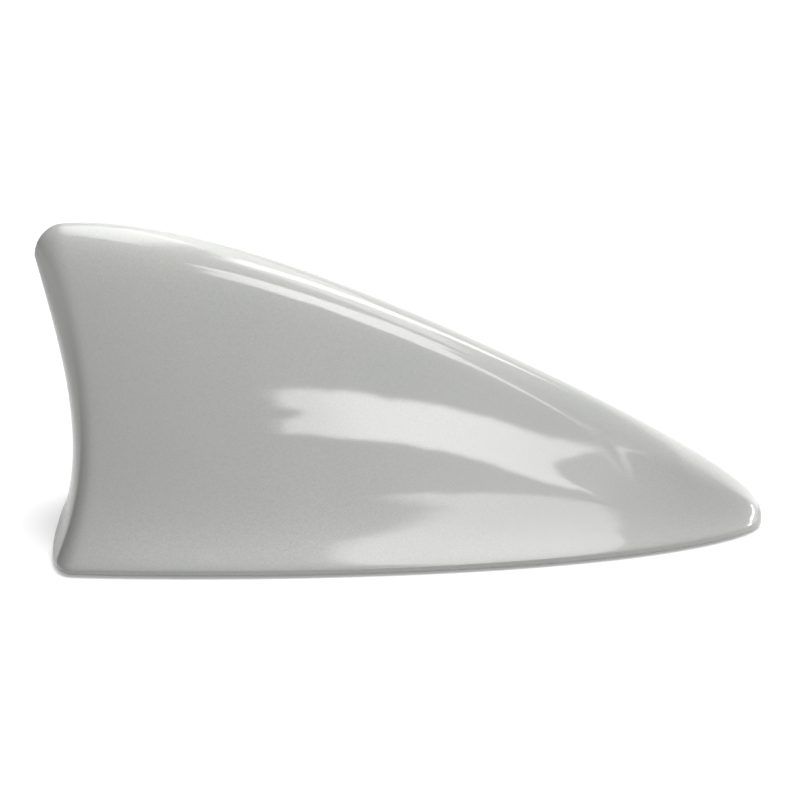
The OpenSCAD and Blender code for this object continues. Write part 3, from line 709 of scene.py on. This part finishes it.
print("cover had", open_edges, "open edges and", len(cover.data.polygons), "faces, now", len(joined.polygons))
cover.data = joined
bpy.data.objects.remove(bosses)
cover.data.set_sharp_from_angle(angle=math.radians(50))

# %% [markdown]
# Most of the small pieces are turned shapes or blocks that repeat. A grid bent
# into a shape of revolution makes the turned ones: its columns go round and its
# rows follow a profile from the middle of the bottom to the middle of the top.

# %% Turned shapes and copies
SMALL_WELD = 0.002 * MM


def surface(tree, columns, rows, rule):
    """A closed grid bent by a rule from a column and a row, both from 0 to 1, to a point."""
    grid = add(tree, "GeometryNodeMeshGrid", {
        "Size X": 1, "Size Y": 1, "Vertices X": columns, "Vertices Y": rows})
    place = add(tree, "ShaderNodeSeparateXYZ", {0: add(tree, "GeometryNodeInputPosition").outputs[0]})
    column, row = (Term(tree, place.outputs[axis]) + 0.5 for axis in (0, 1))
    point = add(tree, "ShaderNodeCombineXYZ", dict(enumerate(rule(column, row))))
    bent = add(tree, "GeometryNodeSetPosition", {
        "Geometry": grid.outputs["Mesh"], "Position": point.outputs[0]})
    return add(tree, "GeometryNodeMergeByDistance", {
        "Geometry": bent.outputs[0], "Distance": SMALL_WELD}).outputs[0]


def pick(tree, index, values):
    """The value that stands at an index."""
    node = add(tree, "GeometryNodeIndexSwitch", data_type="FLOAT")
    while len(node.index_switch_items) < len(values):
        node.index_switch_items.new()
    plug(tree, node.inputs[0], index)
    for socket, value in zip(node.inputs[1:], values):
        plug(tree, socket, value)
    return Term(tree, node.outputs[0])


def turned(tree, profile, around=32):
    """A shape of revolution through points of radius and height."""
    def rule(column, row):
        step = calc(tree, "ROUND", row * (len(profile) - 1))
        angle, radius = column * (2 * math.pi), pick(tree, step, [r for r, z in profile])
        return (radius * calc(tree, "COSINE", angle), radius * calc(tree, "SINE", angle),
                pick(tree, step, [z for r, z in profile]))
    return surface(tree, around + 1, len(profile), rule)


def copies(tree, geometry, places):
    """A shape at each of some places, in millimetres."""
    line = add(tree, "GeometryNodeMeshLine", {"Count": len(places)})
    index = add(tree, "GeometryNodeInputIndex").outputs[0]
    spot = add(tree, "ShaderNodeCombineXYZ", {
        axis: pick(tree, index, [place[axis] * MM for place in places]) for axis in range(3)})
    row = add(tree, "GeometryNodeSetPosition", {"Geometry": line.outputs[0], "Position": spot.outputs[0]})
    return add(tree, "GeometryNodeInstanceOnPoints", {
        "Points": row.outputs[0], "Instance": geometry}).outputs[0]


def cut(tree, operation, shape, *tools):
    """Joins shapes into one solid, or cuts tools out of the first."""
    node = add(tree, "GeometryNodeMeshBoolean", operation=operation, solver="EXACT")
    if operation == "UNION":
        tools = (shape, *tools)
    else:
        plug(tree, node.inputs["Mesh 1"], shape)
    for tool in tools:
        tree.links.new(tool, node.inputs["Mesh 2"])
    return node.outputs["Mesh"]


def block(tree, size, middle):
    cube = add(tree, "GeometryNodeMeshCube")
    plug(tree, cube.inputs["Size"], add(tree, "ShaderNodeCombineXYZ", dict(enumerate(size))).outputs[0])
    at = add(tree, "ShaderNodeCombineXYZ", dict(enumerate(middle)))
    return add(tree, "GeometryNodeTransform", {
        "Geometry": cube.outputs[0], "Translation": at.outputs[0]}).outputs[0]


# %% [markdown]
# Both kinds of screw are thread-forming pan heads with a cross recess. The
# thread is a ridge that climbs one pitch a turn, so the shank's radius depends
# on height and angle together. Head and shank are joined into one solid, and
# two crossed bars are cut out of the head.

# %% Screws
def screw_tree(name, sizes, places, head_up):
    tree, size = new_tree(name, sizes)
    r, tall = size["Head Radius"], size["Head Height"]
    head = turned(tree, [
        (0, tall * -1), (r * 0.62, tall * -1), (r * 0.86, tall * -0.86), (r * 0.97, tall * -0.6),
        (r, tall * -0.3), (r, 0), (0, 0)])

    def thread(column, row):
        z = row * (size["Shank Length"] + 0.2 * MM) - 0.2 * MM
        wave = calc(tree, "ABSOLUTE", calc(tree, "FRACT", z / size["Pitch"] - column) * 2 - 1)
        crest = ramp(tree, wave, 0.35, 1) * ramp(tree, z, 0.3 * MM, 0.8 * MM)
        taper = calc(tree, "MINIMUM", 1, (size["Shank Length"] - z) / (0.9 * MM) * 0.6 + 0.4)
        ends = calc(tree, "SIGN", row * (1 - row))
        radius = size["Shank Radius"] * mix(0.74, 1, crest) * taper * ends
        angle = column * (2 * math.pi)
        return radius * calc(tree, "COSINE", angle), radius * calc(tree, "SINE", angle), z

    shank = surface(tree, 21, size["Rows"], thread)
    bars = [block(tree, (r * a, r * b, tall * 1.3), (0, 0, tall * -1)) for a, b in ((1.1, 0.26), (0.26, 1.1))]
    screw = cut(tree, "DIFFERENCE", cut(tree, "UNION", head, shank), *bars)
    facing = add(tree, "GeometryNodeTransform", {
        "Geometry": screw, "Rotation": (math.pi if head_up else 0, 0, 0)})
    end_tree(tree, copies(tree, facing.outputs[0], places), FINISH["screw_steel"])
    return tree


COVER_SCREW = {"Head Radius": 2.8 * MM, "Head Height": 1.4 * MM, "Shank Radius": 1.3 * MM,
               "Shank Length": 6.4 * MM, "Pitch": 1.1 * MM, "Rows": 54}
BOARD_SCREW = {"Head Radius": 2.1 * MM, "Head Height": 1.3 * MM, "Shank Radius": 0.95 * MM,
               "Shank Length": 7.5 * MM, "Pitch": 0.8 * MM, "Rows": 80}
COVER_SCREW_SEAT, BOARD_TOP, HOLDER_FOOT = 2.6, 15.6, 2
COVER_SCREWS = [(*at, COVER_SCREW_SEAT) for at in BOSSES]
seats = [(*at, BOARD_TOP + (HOLDER_FOOT if at[1] == 0 else 0)) for at in BOARD_SCREWS]
cover_screw = screw_tree("cover_screw", COVER_SCREW, COVER_SCREWS, False)
board_screw = screw_tree("board_screw", BOARD_SCREW, seats, True)
cover_screws = grow("cover_screws_turned", cover_screw, COVER_SCREW)
board_screws = grow("board_screws_turned", board_screw, BOARD_SCREW)

# %% [markdown]
# The coil is enamelled wire wound on the holder's former. Its middle line is a
# helix whose ends rise or fall more steeply, to the clip on the board and to
# the sheet on top. Curve to Mesh gives the line its round section.

# %% Coil
COIL = {"Turns": 10.0, "Pitch": 2.3 * MM, "Radius": 5.15 * MM, "Wire": 0.9 * MM, "Low": 19.1 * MM,
        "Lead Turn": 0.25, "Lead Fall": 2.95 * MM, "Lead Rise": 6 * MM, "Steps": 340}
COIL_X = -39 * MM


def coil_tree():
    tree, size = new_tree("coil", COIL)
    line = add(tree, "GeometryNodeMeshLine", {"Count": size["Steps"]})
    index = Term(tree, add(tree, "GeometryNodeInputIndex").outputs[0])
    turn = index / (size["Steps"] - 1) * (size["Turns"] + size["Lead Turn"] * 2) - size["Lead Turn"]
    before = calc(tree, "MAXIMUM", turn * -1, 0) / size["Lead Turn"]
    after = calc(tree, "MAXIMUM", turn - size["Turns"], 0) / size["Lead Turn"]
    wound = calc(tree, "MINIMUM", calc(tree, "MAXIMUM", turn, 0), size["Turns"])
    angle = turn * (2 * math.pi)
    climb = size["Low"] + wound * size["Pitch"]
    leads = after ** 1.5 * size["Lead Rise"] - before ** 1.5 * size["Lead Fall"]
    point = add(tree, "ShaderNodeCombineXYZ", {
        0: size["Radius"] * calc(tree, "COSINE", angle) + COIL_X,
        1: size["Radius"] * calc(tree, "SINE", angle), 2: climb + leads})
    bent = add(tree, "GeometryNodeSetPosition", {"Geometry": line.outputs[0], "Position": point.outputs[0]})
    path = add(tree, "GeometryNodeMeshToCurve", {0: bent.outputs[0]})
    round_wire = add(tree, "GeometryNodeCurvePrimitiveCircle", {
        "Resolution": 12, "Radius": size["Wire"] * 0.5})
    wire = add(tree, "GeometryNodeCurveToMesh", {
        0: path.outputs[0], "Profile Curve": round_wire.outputs[0], "Fill Caps": True})
    smooth = add(tree, "GeometryNodeSetShadeSmooth", {"Geometry": wire.outputs[0]})
    end_tree(tree, smooth.outputs[0], FINISH["copper_wire"])
    return tree


coil = grow("aerial_coil_wound", coil_tree(), COIL)

# %% [markdown]
# Chip capacitors and resistors are tiny blocks with tinned end caps. The caps
# are marked faces, which get the second material.

# %% Chips
def chip_tree(name, sizes, places, body):
    tree, size = new_tree(name, sizes)
    long, wide, tall, cap = (size[label] for label in sizes)
    middle = block(tree, (long - cap * 0.4, wide * 0.95, tall * 0.95), (long * 0.5, 0, tall * 0.5))
    caps = [mark(tree, block(tree, (cap, wide, tall), (x, 0, tall * 0.5)))
            for x in (cap * 0.5, long - cap * 0.5)]
    end_tree(tree, copies(tree, join(tree, middle, *caps), places), body, FINISH["tin_sheet"])
    return tree


def round_edges(piece, width):
    """Rounds a piece's edges by a width in millimetres."""
    bevel = piece.modifiers.new("edges", "BEVEL")
    bevel.width, bevel.segments, bevel.limit_method = width * MM, 2, "ANGLE"
    evaluated = piece.evaluated_get(bpy.context.evaluated_depsgraph_get())
    mesh = bpy.data.meshes.new_from_object(evaluated)
    piece.modifiers.clear()
    piece.data = mesh


CAPACITOR = {"Length": 1.6 * MM, "Width": 0.8 * MM, "Height": 0.8 * MM, "Cap": 0.35 * MM}
RESISTOR = {"Length": 1.6 * MM, "Width": 0.8 * MM, "Height": 0.45 * MM, "Cap": 0.3 * MM}
CAN_ROW_X, CAN_ROW_Y, CAN_ROW_PITCH = 16, 5, 2.6
REAR_ROW_X, REAR_ROW_Y, REAR_ROW_PITCH = -30, 9, 3.2
can_row = [CAN_ROW_X + CAN_ROW_PITCH * k for k in range(4)]
rear_row = [REAR_ROW_X + REAR_ROW_PITCH * k for k in range(4)]
capacitor_places = [(x, -CAN_ROW_Y, BOARD_TOP) for x in can_row]
capacitor_places += [(x, REAR_ROW_Y, BOARD_TOP) for x in rear_row]
resistor_places = [(x, CAN_ROW_Y, BOARD_TOP) for x in can_row]
resistor_places += [(x, -REAR_ROW_Y, BOARD_TOP) for x in rear_row[:3]]
capacitors = grow("chip_capacitors_capped", chip_tree(
    "capacitor", CAPACITOR, capacitor_places, FINISH["chip_ceramic"]), CAPACITOR)
resistors = grow("chip_resistors_capped", chip_tree(
    "resistor", RESISTOR, resistor_places, FINISH["chip_black"]), RESISTOR)
for chips in (capacitors, resistors):
    round_edges(chips, 0.05)

# %% [markdown]
# A choke is a ferrite drum wound with copper, an arrester a ceramic tube with
# metal caps, and the seal at the foot a rubber ring with fine ribs below. All
# three are turned shapes with a longer profile.

# %% Chokes, arrester and foot seal
CHOKES = [(-11, -8, BOARD_TOP), (-11, 8, BOARD_TOP)]
ARRESTER = (-16, -13, BOARD_TOP + 1.6)
CHOKE_CORE, CHOKE_WIRE, ARRESTER_LENGTH, RING_SIDES = 1.5, 0.25, 5, 96


def wound_profile(core, wire, low, high):
    """Profile of wires side by side on a core, in millimetres."""
    count = round((high - low) / wire)
    rounds = [(core + wire * 0.5 + wire * 0.5 * math.sin(math.pi * k / 4), low + wire * (n + k / 4))
              for n in range(count) for k in range(4)]
    last = low + wire * count
    return [(core - 0.1, low), *rounds, (core + wire * 0.5, last), (core - 0.1, last), (core - 0.1, low)]


def metres(profile):
    return [(r * MM, z * MM) for r, z in profile]


def choke_tree():
    tree = new_tree("choke", {})[0]
    drum = turned(tree, metres([
        (0, 0), (2.1, 0), (2.2, 0.1), (2.2, 0.7), (CHOKE_CORE, 0.9), (CHOKE_CORE, 2.4), (2.2, 2.6),
        (2.2, 3.1), (2.1, 3.2), (0, 3.2)]))
    wire = mark(tree, turned(tree, metres(wound_profile(CHOKE_CORE, CHOKE_WIRE, 0.95, 2.35))))
    pair = copies(tree, join(tree, drum, wire), CHOKES)
    end_tree(tree, pair, FINISH["ferrite"], FINISH["copper_wire"])
    return tree


def arrester_tree():
    tree = new_tree("arrester", {})[0]
    tube = turned(tree, metres([(0, 0.6), (1.45, 0.6), (1.45, 4.4), (0, 4.4)]))
    cap = [(0, 0), (1.45, 0), (1.58, 0.12), (1.58, 1.1), (1.45, 1.2), (0, 1.2)]
    far_cap = [(r, ARRESTER_LENGTH - z) for r, z in reversed(cap)]
    caps = [mark(tree, turned(tree, metres(points))) for points in (cap, far_cap)]
    lying = add(tree, "GeometryNodeTransform", {
        "Geometry": join(tree, tube, *caps), "Rotation": (0, math.pi / 2, 0)})
    placed = copies(tree, lying.outputs[0], [ARRESTER])
    end_tree(tree, placed, FINISH["chip_ceramic"], FINISH["tin_sheet"])
    return tree


def seal_tree():
    tree = new_tree("foot_ring", {})[0]
    ribs = [(r + 0.5 * k, z) for k in range(4) for r, z in ((11.5, 0.18), (11.6, 0), (11.75, 0))]
    ring = turned(tree, metres([
        (11.3, 0.2), *ribs, (13.4, 0.15), (13.49, 0.3), (13.49, 1.8), (13.4, 1.9), (11.4, 1.9),
        (11.3, 1.8), (11.3, 0.2)]), RING_SIDES)
    end_tree(tree, ring, FINISH["seal_rubber"])
    return tree


chokes = grow("choke_coils_wound", choke_tree(), {})
arrester = grow("surge_arrester_capped", arrester_tree(), {})
foot_seal = grow("foot_seal_ribbed", seal_tree(), {})

# %% [markdown]
# The screening can is a thin tinned box, open below, with rows of small vent
# holes in its top.

# %% Screening can
CAN = {"Length": 13 * MM, "Width": 16 * MM, "Height": 4.5 * MM, "Sheet": 0.3 * MM, "Hole": 0.6 * MM}


def can_tree():
    tree, size = new_tree("screening_can", CAN)
    long, wide, tall, sheet = (size[label] for label in list(CAN)[:4])
    x = long * 0.5 + 14 * MM
    z = tall * 0.5 + BOARD_TOP * MM
    outside = block(tree, (long, wide, tall), (x, 0, z))
    inside = block(tree, (long - sheet * 2, wide - sheet * 2, tall), (x, 0, z - sheet))
    drill = add(tree, "GeometryNodeMeshCylinder", {"Vertices": 16, "Radius": size["Hole"], "Depth": 2 * MM})
    grid = [(20.5 + 2.2 * i, 2.2 * j, BOARD_TOP + 4.5) for i in range(-2, 3) for j in range(-3, 4)]
    holes = add(tree, "GeometryNodeRealizeInstances", {0: copies(tree, drill.outputs["Mesh"], grid)})
    end_tree(tree, cut(tree, "DIFFERENCE", outside, inside, holes.outputs[0]), FINISH["tin_sheet"])
    return tree


can = grow("shield_can_vented", can_tree(), CAN)

# %% [markdown]
# A gloss cover shows its surroundings, so the studio decides its highlights.
# The floor is plain and pale. It glows a little for the camera only, so that it
# renders white while the fin's shadow stays on it.

# %% Floor
FLOOR_HALF, FLOOR_PALE, FLOOR_GLOW = 9, 0.7, 0.35
floor_mesh = bpy.data.meshes.new("floor")
around = [(-FLOOR_HALF, -FLOOR_HALF, 0), (FLOOR_HALF, -FLOOR_HALF, 0),
          (FLOOR_HALF, FLOOR_HALF, 0), (-FLOOR_HALF, FLOOR_HALF, 0)]
floor_mesh.from_pydata(around, [], [(0, 1, 2, 3)])
floor = bpy.data.objects.new("floor", floor_mesh)
floor_paint, floor_shader = new_material("floor_paint", (FLOOR_PALE,) * 3, 0.9)
tree = floor_paint.node_tree
seen = Term(tree, add(tree, "ShaderNodeLightPath").outputs["Is Camera Ray"])
floor_shader.inputs["Emission Color"].default_value = (1, 1, 1, 1)
plug(tree, floor_shader.inputs["Emission Strength"], seen * FLOOR_GLOW)
floor_mesh.materials.append(floor_paint)
bpy.context.scene.collection.objects.link(floor)
print("floor is", [round(side) for side in floor.dimensions[:2]], "m wide")

# %% [markdown]
# The photograph's highlights are mirror images of lamps in the room. Softboxes
# stand where the flank reflects them, and each is placed by directions seen
# from the fin: turn from the camera's side and height, in degrees. A formula of
# these two shapes its light. A real lamp's edge is never straight in a curved
# mirror, so noise makes the shapes a little ragged.

# %% Softboxes
BOX_FAR = 3.0


def direction(turn, height):
    turn, height = math.radians(turn), math.radians(height)
    return Vector((math.sin(turn) * math.cos(height), -math.cos(turn) * math.cos(height), math.sin(height)))


def softbox(name, start, end, deep, radiance, shape, far=BOX_FAR):
    """A soft box from one direction to another, deep degrees high, that looks at the fin.
    shape gives how bright it is at a turn and a height, from 0 to 1."""
    a, b = direction(*start) * far, direction(*end) * far
    middle = (a + b) / 2
    lamp = bpy.data.lights.new(name, "AREA")
    lamp.shape, lamp.size, lamp.size_y = "RECTANGLE", (b - a).length, far * math.radians(deep)
    lamp.energy = radiance * math.pi * lamp.size * lamp.size_y
    lamp_object = bpy.data.objects.new(name, lamp)
    lamp_object.location = middle
    back = middle.normalized()
    along = (b - a).normalized()
    along = (along - back * along.dot(back)).normalized()
    aimed = Matrix((along, back.cross(along), back)).transposed()
    lamp_object.rotation_mode = "QUATERNION"
    lamp_object.rotation_quaternion = aimed.to_quaternion()
    lamp_object.visible_camera = False
    bpy.context.scene.collection.objects.link(lamp_object)

    lamp.use_nodes = True
    tree = lamp.node_tree
    place = add(tree, "ShaderNodeSeparateXYZ", {0: add(tree, "ShaderNodeNewGeometry").outputs["Position"]})
    x, y, z = (Term(tree, place.outputs[axis]) for axis in range(3))
    turn = calc(tree, "DEGREES", calc(tree, "ARCTAN2", x, y * -1))
    height = calc(tree, "DEGREES", calc(tree, "ARCTAN2", z, calc(tree, "SQRT", x * x + y * y)))
    plug(tree, tree.nodes["Emission"].inputs["Strength"], shape(tree, turn, height))
    print(name, "is", round(lamp.size, 2), "by", round(lamp.size_y, 2), "m")


def ragged(tree, turn, height, scale):
    """Noise from -1 to 1 over the directions."""
    spot = add(tree, "ShaderNodeCombineXYZ", {0: turn, 1: height})
    pattern = add(tree, "ShaderNodeTexNoise", {"Vector": spot.outputs[0], "Scale": scale, "Detail": 2})
    return Term(tree, pattern.outputs["Fac"]) * 2 - 1


# %% [markdown]
# Two far boxes light the flank. A slim one gives the streak along the flare and
# the lower line of the ridge. A wide one gives the glow over the foot.

# %% Far softboxes
def streak(tree, turn, height):
    """A slanting band, forked at both ends."""
    rough = ragged(tree, turn, height, 0.22)
    centre = 33.4 + turn * 0.335 - ramp(tree, turn, 34, 50) * 2.9
    off = calc(tree, "ABSOLUTE", height - centre + rough * 0.6)
    band = 1 - ramp(tree, off, 1.9, 2.7)
    left_notch = (1 - ramp(tree, turn + off * 2, 8, 11)) * (1 - ramp(tree, off, 0.2, 0.9))
    open_end = ramp(tree, turn, 38, 46) * 1.4 + 0.5
    right_notch = ramp(tree, turn - off * 1.5, 37, 39) * (1 - ramp(tree, off, open_end, open_end + 0.5))
    ends = ramp(tree, turn + rough * 2, 5, 8) * (1 - ramp(tree, turn + rough * 2, 44, 51))
    strength = mix(0.72, 1, ramp(tree, turn, 8, 17)) * mix(1, 0.7, ramp(tree, turn, 20, 45))
    return band * ends * (1 - left_notch) * (1 - right_notch * 0.9) * strength


def glow(tree, turn, height):
    """A wide field with a sharp lower edge and soft ends."""
    rough = ragged(tree, turn, height, 0.16)
    fine = ragged(tree, turn * 0.3, height * 1.2, 0.9)
    lower = ramp(tree, height + rough * 1.2, 50, 51.5)
    step = ramp(tree, height, 51, 57) * (1 - ramp(tree, height, 66, 74))
    left = ramp(tree, turn + rough * 3 - step * 8, 12, 23)
    far = calc(tree, "MAXIMUM", height - 61, 0)
    right = 1 - ramp(tree, turn + rough * 4 + fine * 3 - (height - 50) * 2 - far * far, 45, 52)
    strength = mix(0.85, 0.68, ramp(tree, turn, 28, 42)) * (1 - ramp(tree, fine, 0.1, 0.8) * 0.15)
    return lower * left * right * strength


softbox("streak_box", (1, 32), (53, 50), 14, 8, streak)
softbox("glow_box", (0, 64), (88, 64), 44, 4.4, glow)

# %% [markdown]
# The foot and the ridge mirror the same far directions. Two small boxes close
# over the fin are seen by the ridge alone, because so near a lamp stands in
# another direction from each part of the fin. The last box lights the nose.

# %% Near softboxes and nose
def ridge_light(tree, turn, height):
    """A slim band close over the fin, which only the ridge shows."""
    return ramp(tree, turn, -20, -4) * (1 - ramp(tree, turn, 82, 94))


def tip_light(tree, turn, height):
    """A soft patch close over the tip, which fades towards the flank."""
    return ramp(tree, height, 49, 57) * ramp(tree, turn, -102, -86) * (1 - ramp(tree, turn, -48, -30))


def even(tree, turn, height):
    return 1


softbox("ridge_box", (-22, 66.2), (95, 48.5), 5, 9, ridge_light, 0.168)
softbox("tip_box", (-90, 52), (-32, 66), 18, 4.5, tip_light, 0.158)
softbox("nose_box", (99, -2), (99, 14), 5, 10, even)

# %% [markdown]
# The rest of the room is the world. It is lighter towards the nose, behind the
# fin and overhead, which shades the flank from left to right as in the
# photograph. The camera itself sees plain white.

# %% World
world = bpy.data.worlds.new("studio")
bpy.context.scene.world = world
world.use_nodes = True
sky = world.node_tree
coords = add(sky, "ShaderNodeTexCoord")
axes = add(sky, "ShaderNodeSeparateXYZ", {0: coords.outputs["Generated"]})
right, back, rise = (Term(sky, axes.outputs[axis]) for axis in range(3))
behind = ramp(sky, back, 0, 0.4) * ramp(sky, right, -0.3, 0.1)
sky_light = right * 0.36 + behind * 1.8 + rise * 0.46 + 0.21 + ramp(sky, right, 0.6, 0.95) * 0.15
white_to_camera = add(sky, "ShaderNodeLightPath").outputs["Is Camera Ray"]
level = calc(sky, "MAXIMUM", calc(sky, "MAXIMUM", sky_light, 0.03), white_to_camera)
grey = add(sky, "ShaderNodeCombineColor", {0: level, 1: level, 2: level})
plug(sky, sky.nodes["Background"].inputs["Color"], grey.outputs[0])
sky.nodes["Background"].inputs["Strength"].default_value = 1
bpy.context.scene.view_settings.view_transform = "Standard"
print("world has", len(sky.nodes), "nodes")

# %% [markdown]
# Each new mesh stands in for one node of the CAD model: it rides on the same
# body, hides that node and takes its slot. A print shows how far it stands out
# of the node's box. None may stand out of the node's box by more than a few
# hundredths of a millimetre.

# %% Pieces and bodies
PIECES = [
    (cover, "fin_shell", "cover_paint"), (cover_screws, "cover_screws", "screw_steel"),
    (board_screws, "board_screws", "screw_steel"), (coil, "aerial_coil", "copper_wire"),
    (capacitors, "chip_capacitors", "chip_ceramic"), (resistors, "chip_resistors", "chip_black"),
    (chokes, "choke_coils", "ferrite"), (arrester, "surge_arrester", "chip_ceramic"),
    (foot_seal, "foot_seal", "seal_rubber"), (can, "shield_can", "tin_sheet"),
]
for piece, node, slot in PIECES:
    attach(piece, "root")
    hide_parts(node)
    low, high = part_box(node)
    corners = [piece.matrix_world @ Vector(c) for c in piece.bound_box]
    over = max(max((c - high)[k], (low - c)[k]) for c in corners for k in range(3))
    print(piece.name, "stands", round(over / MM, 3), "mm out of its node's box")

# %% [markdown]
# The nodes that stay as the CAD model made them get their finish from the
# record's slots, by assigning to the object's material slots.

# %% Finishes of the CAD nodes
slots = {part["node"]: part["material_slot"] for part in frame["record"]["subparts"]}
replaced = {node for piece, node, slot in PIECES}
for name, node in frame["nodes"].items():
    if name in replaced:
        continue
    node.data.materials.clear()
    node.data.materials.append(FINISH[slots[name]])
    print(name, "is finished as", slots[name])
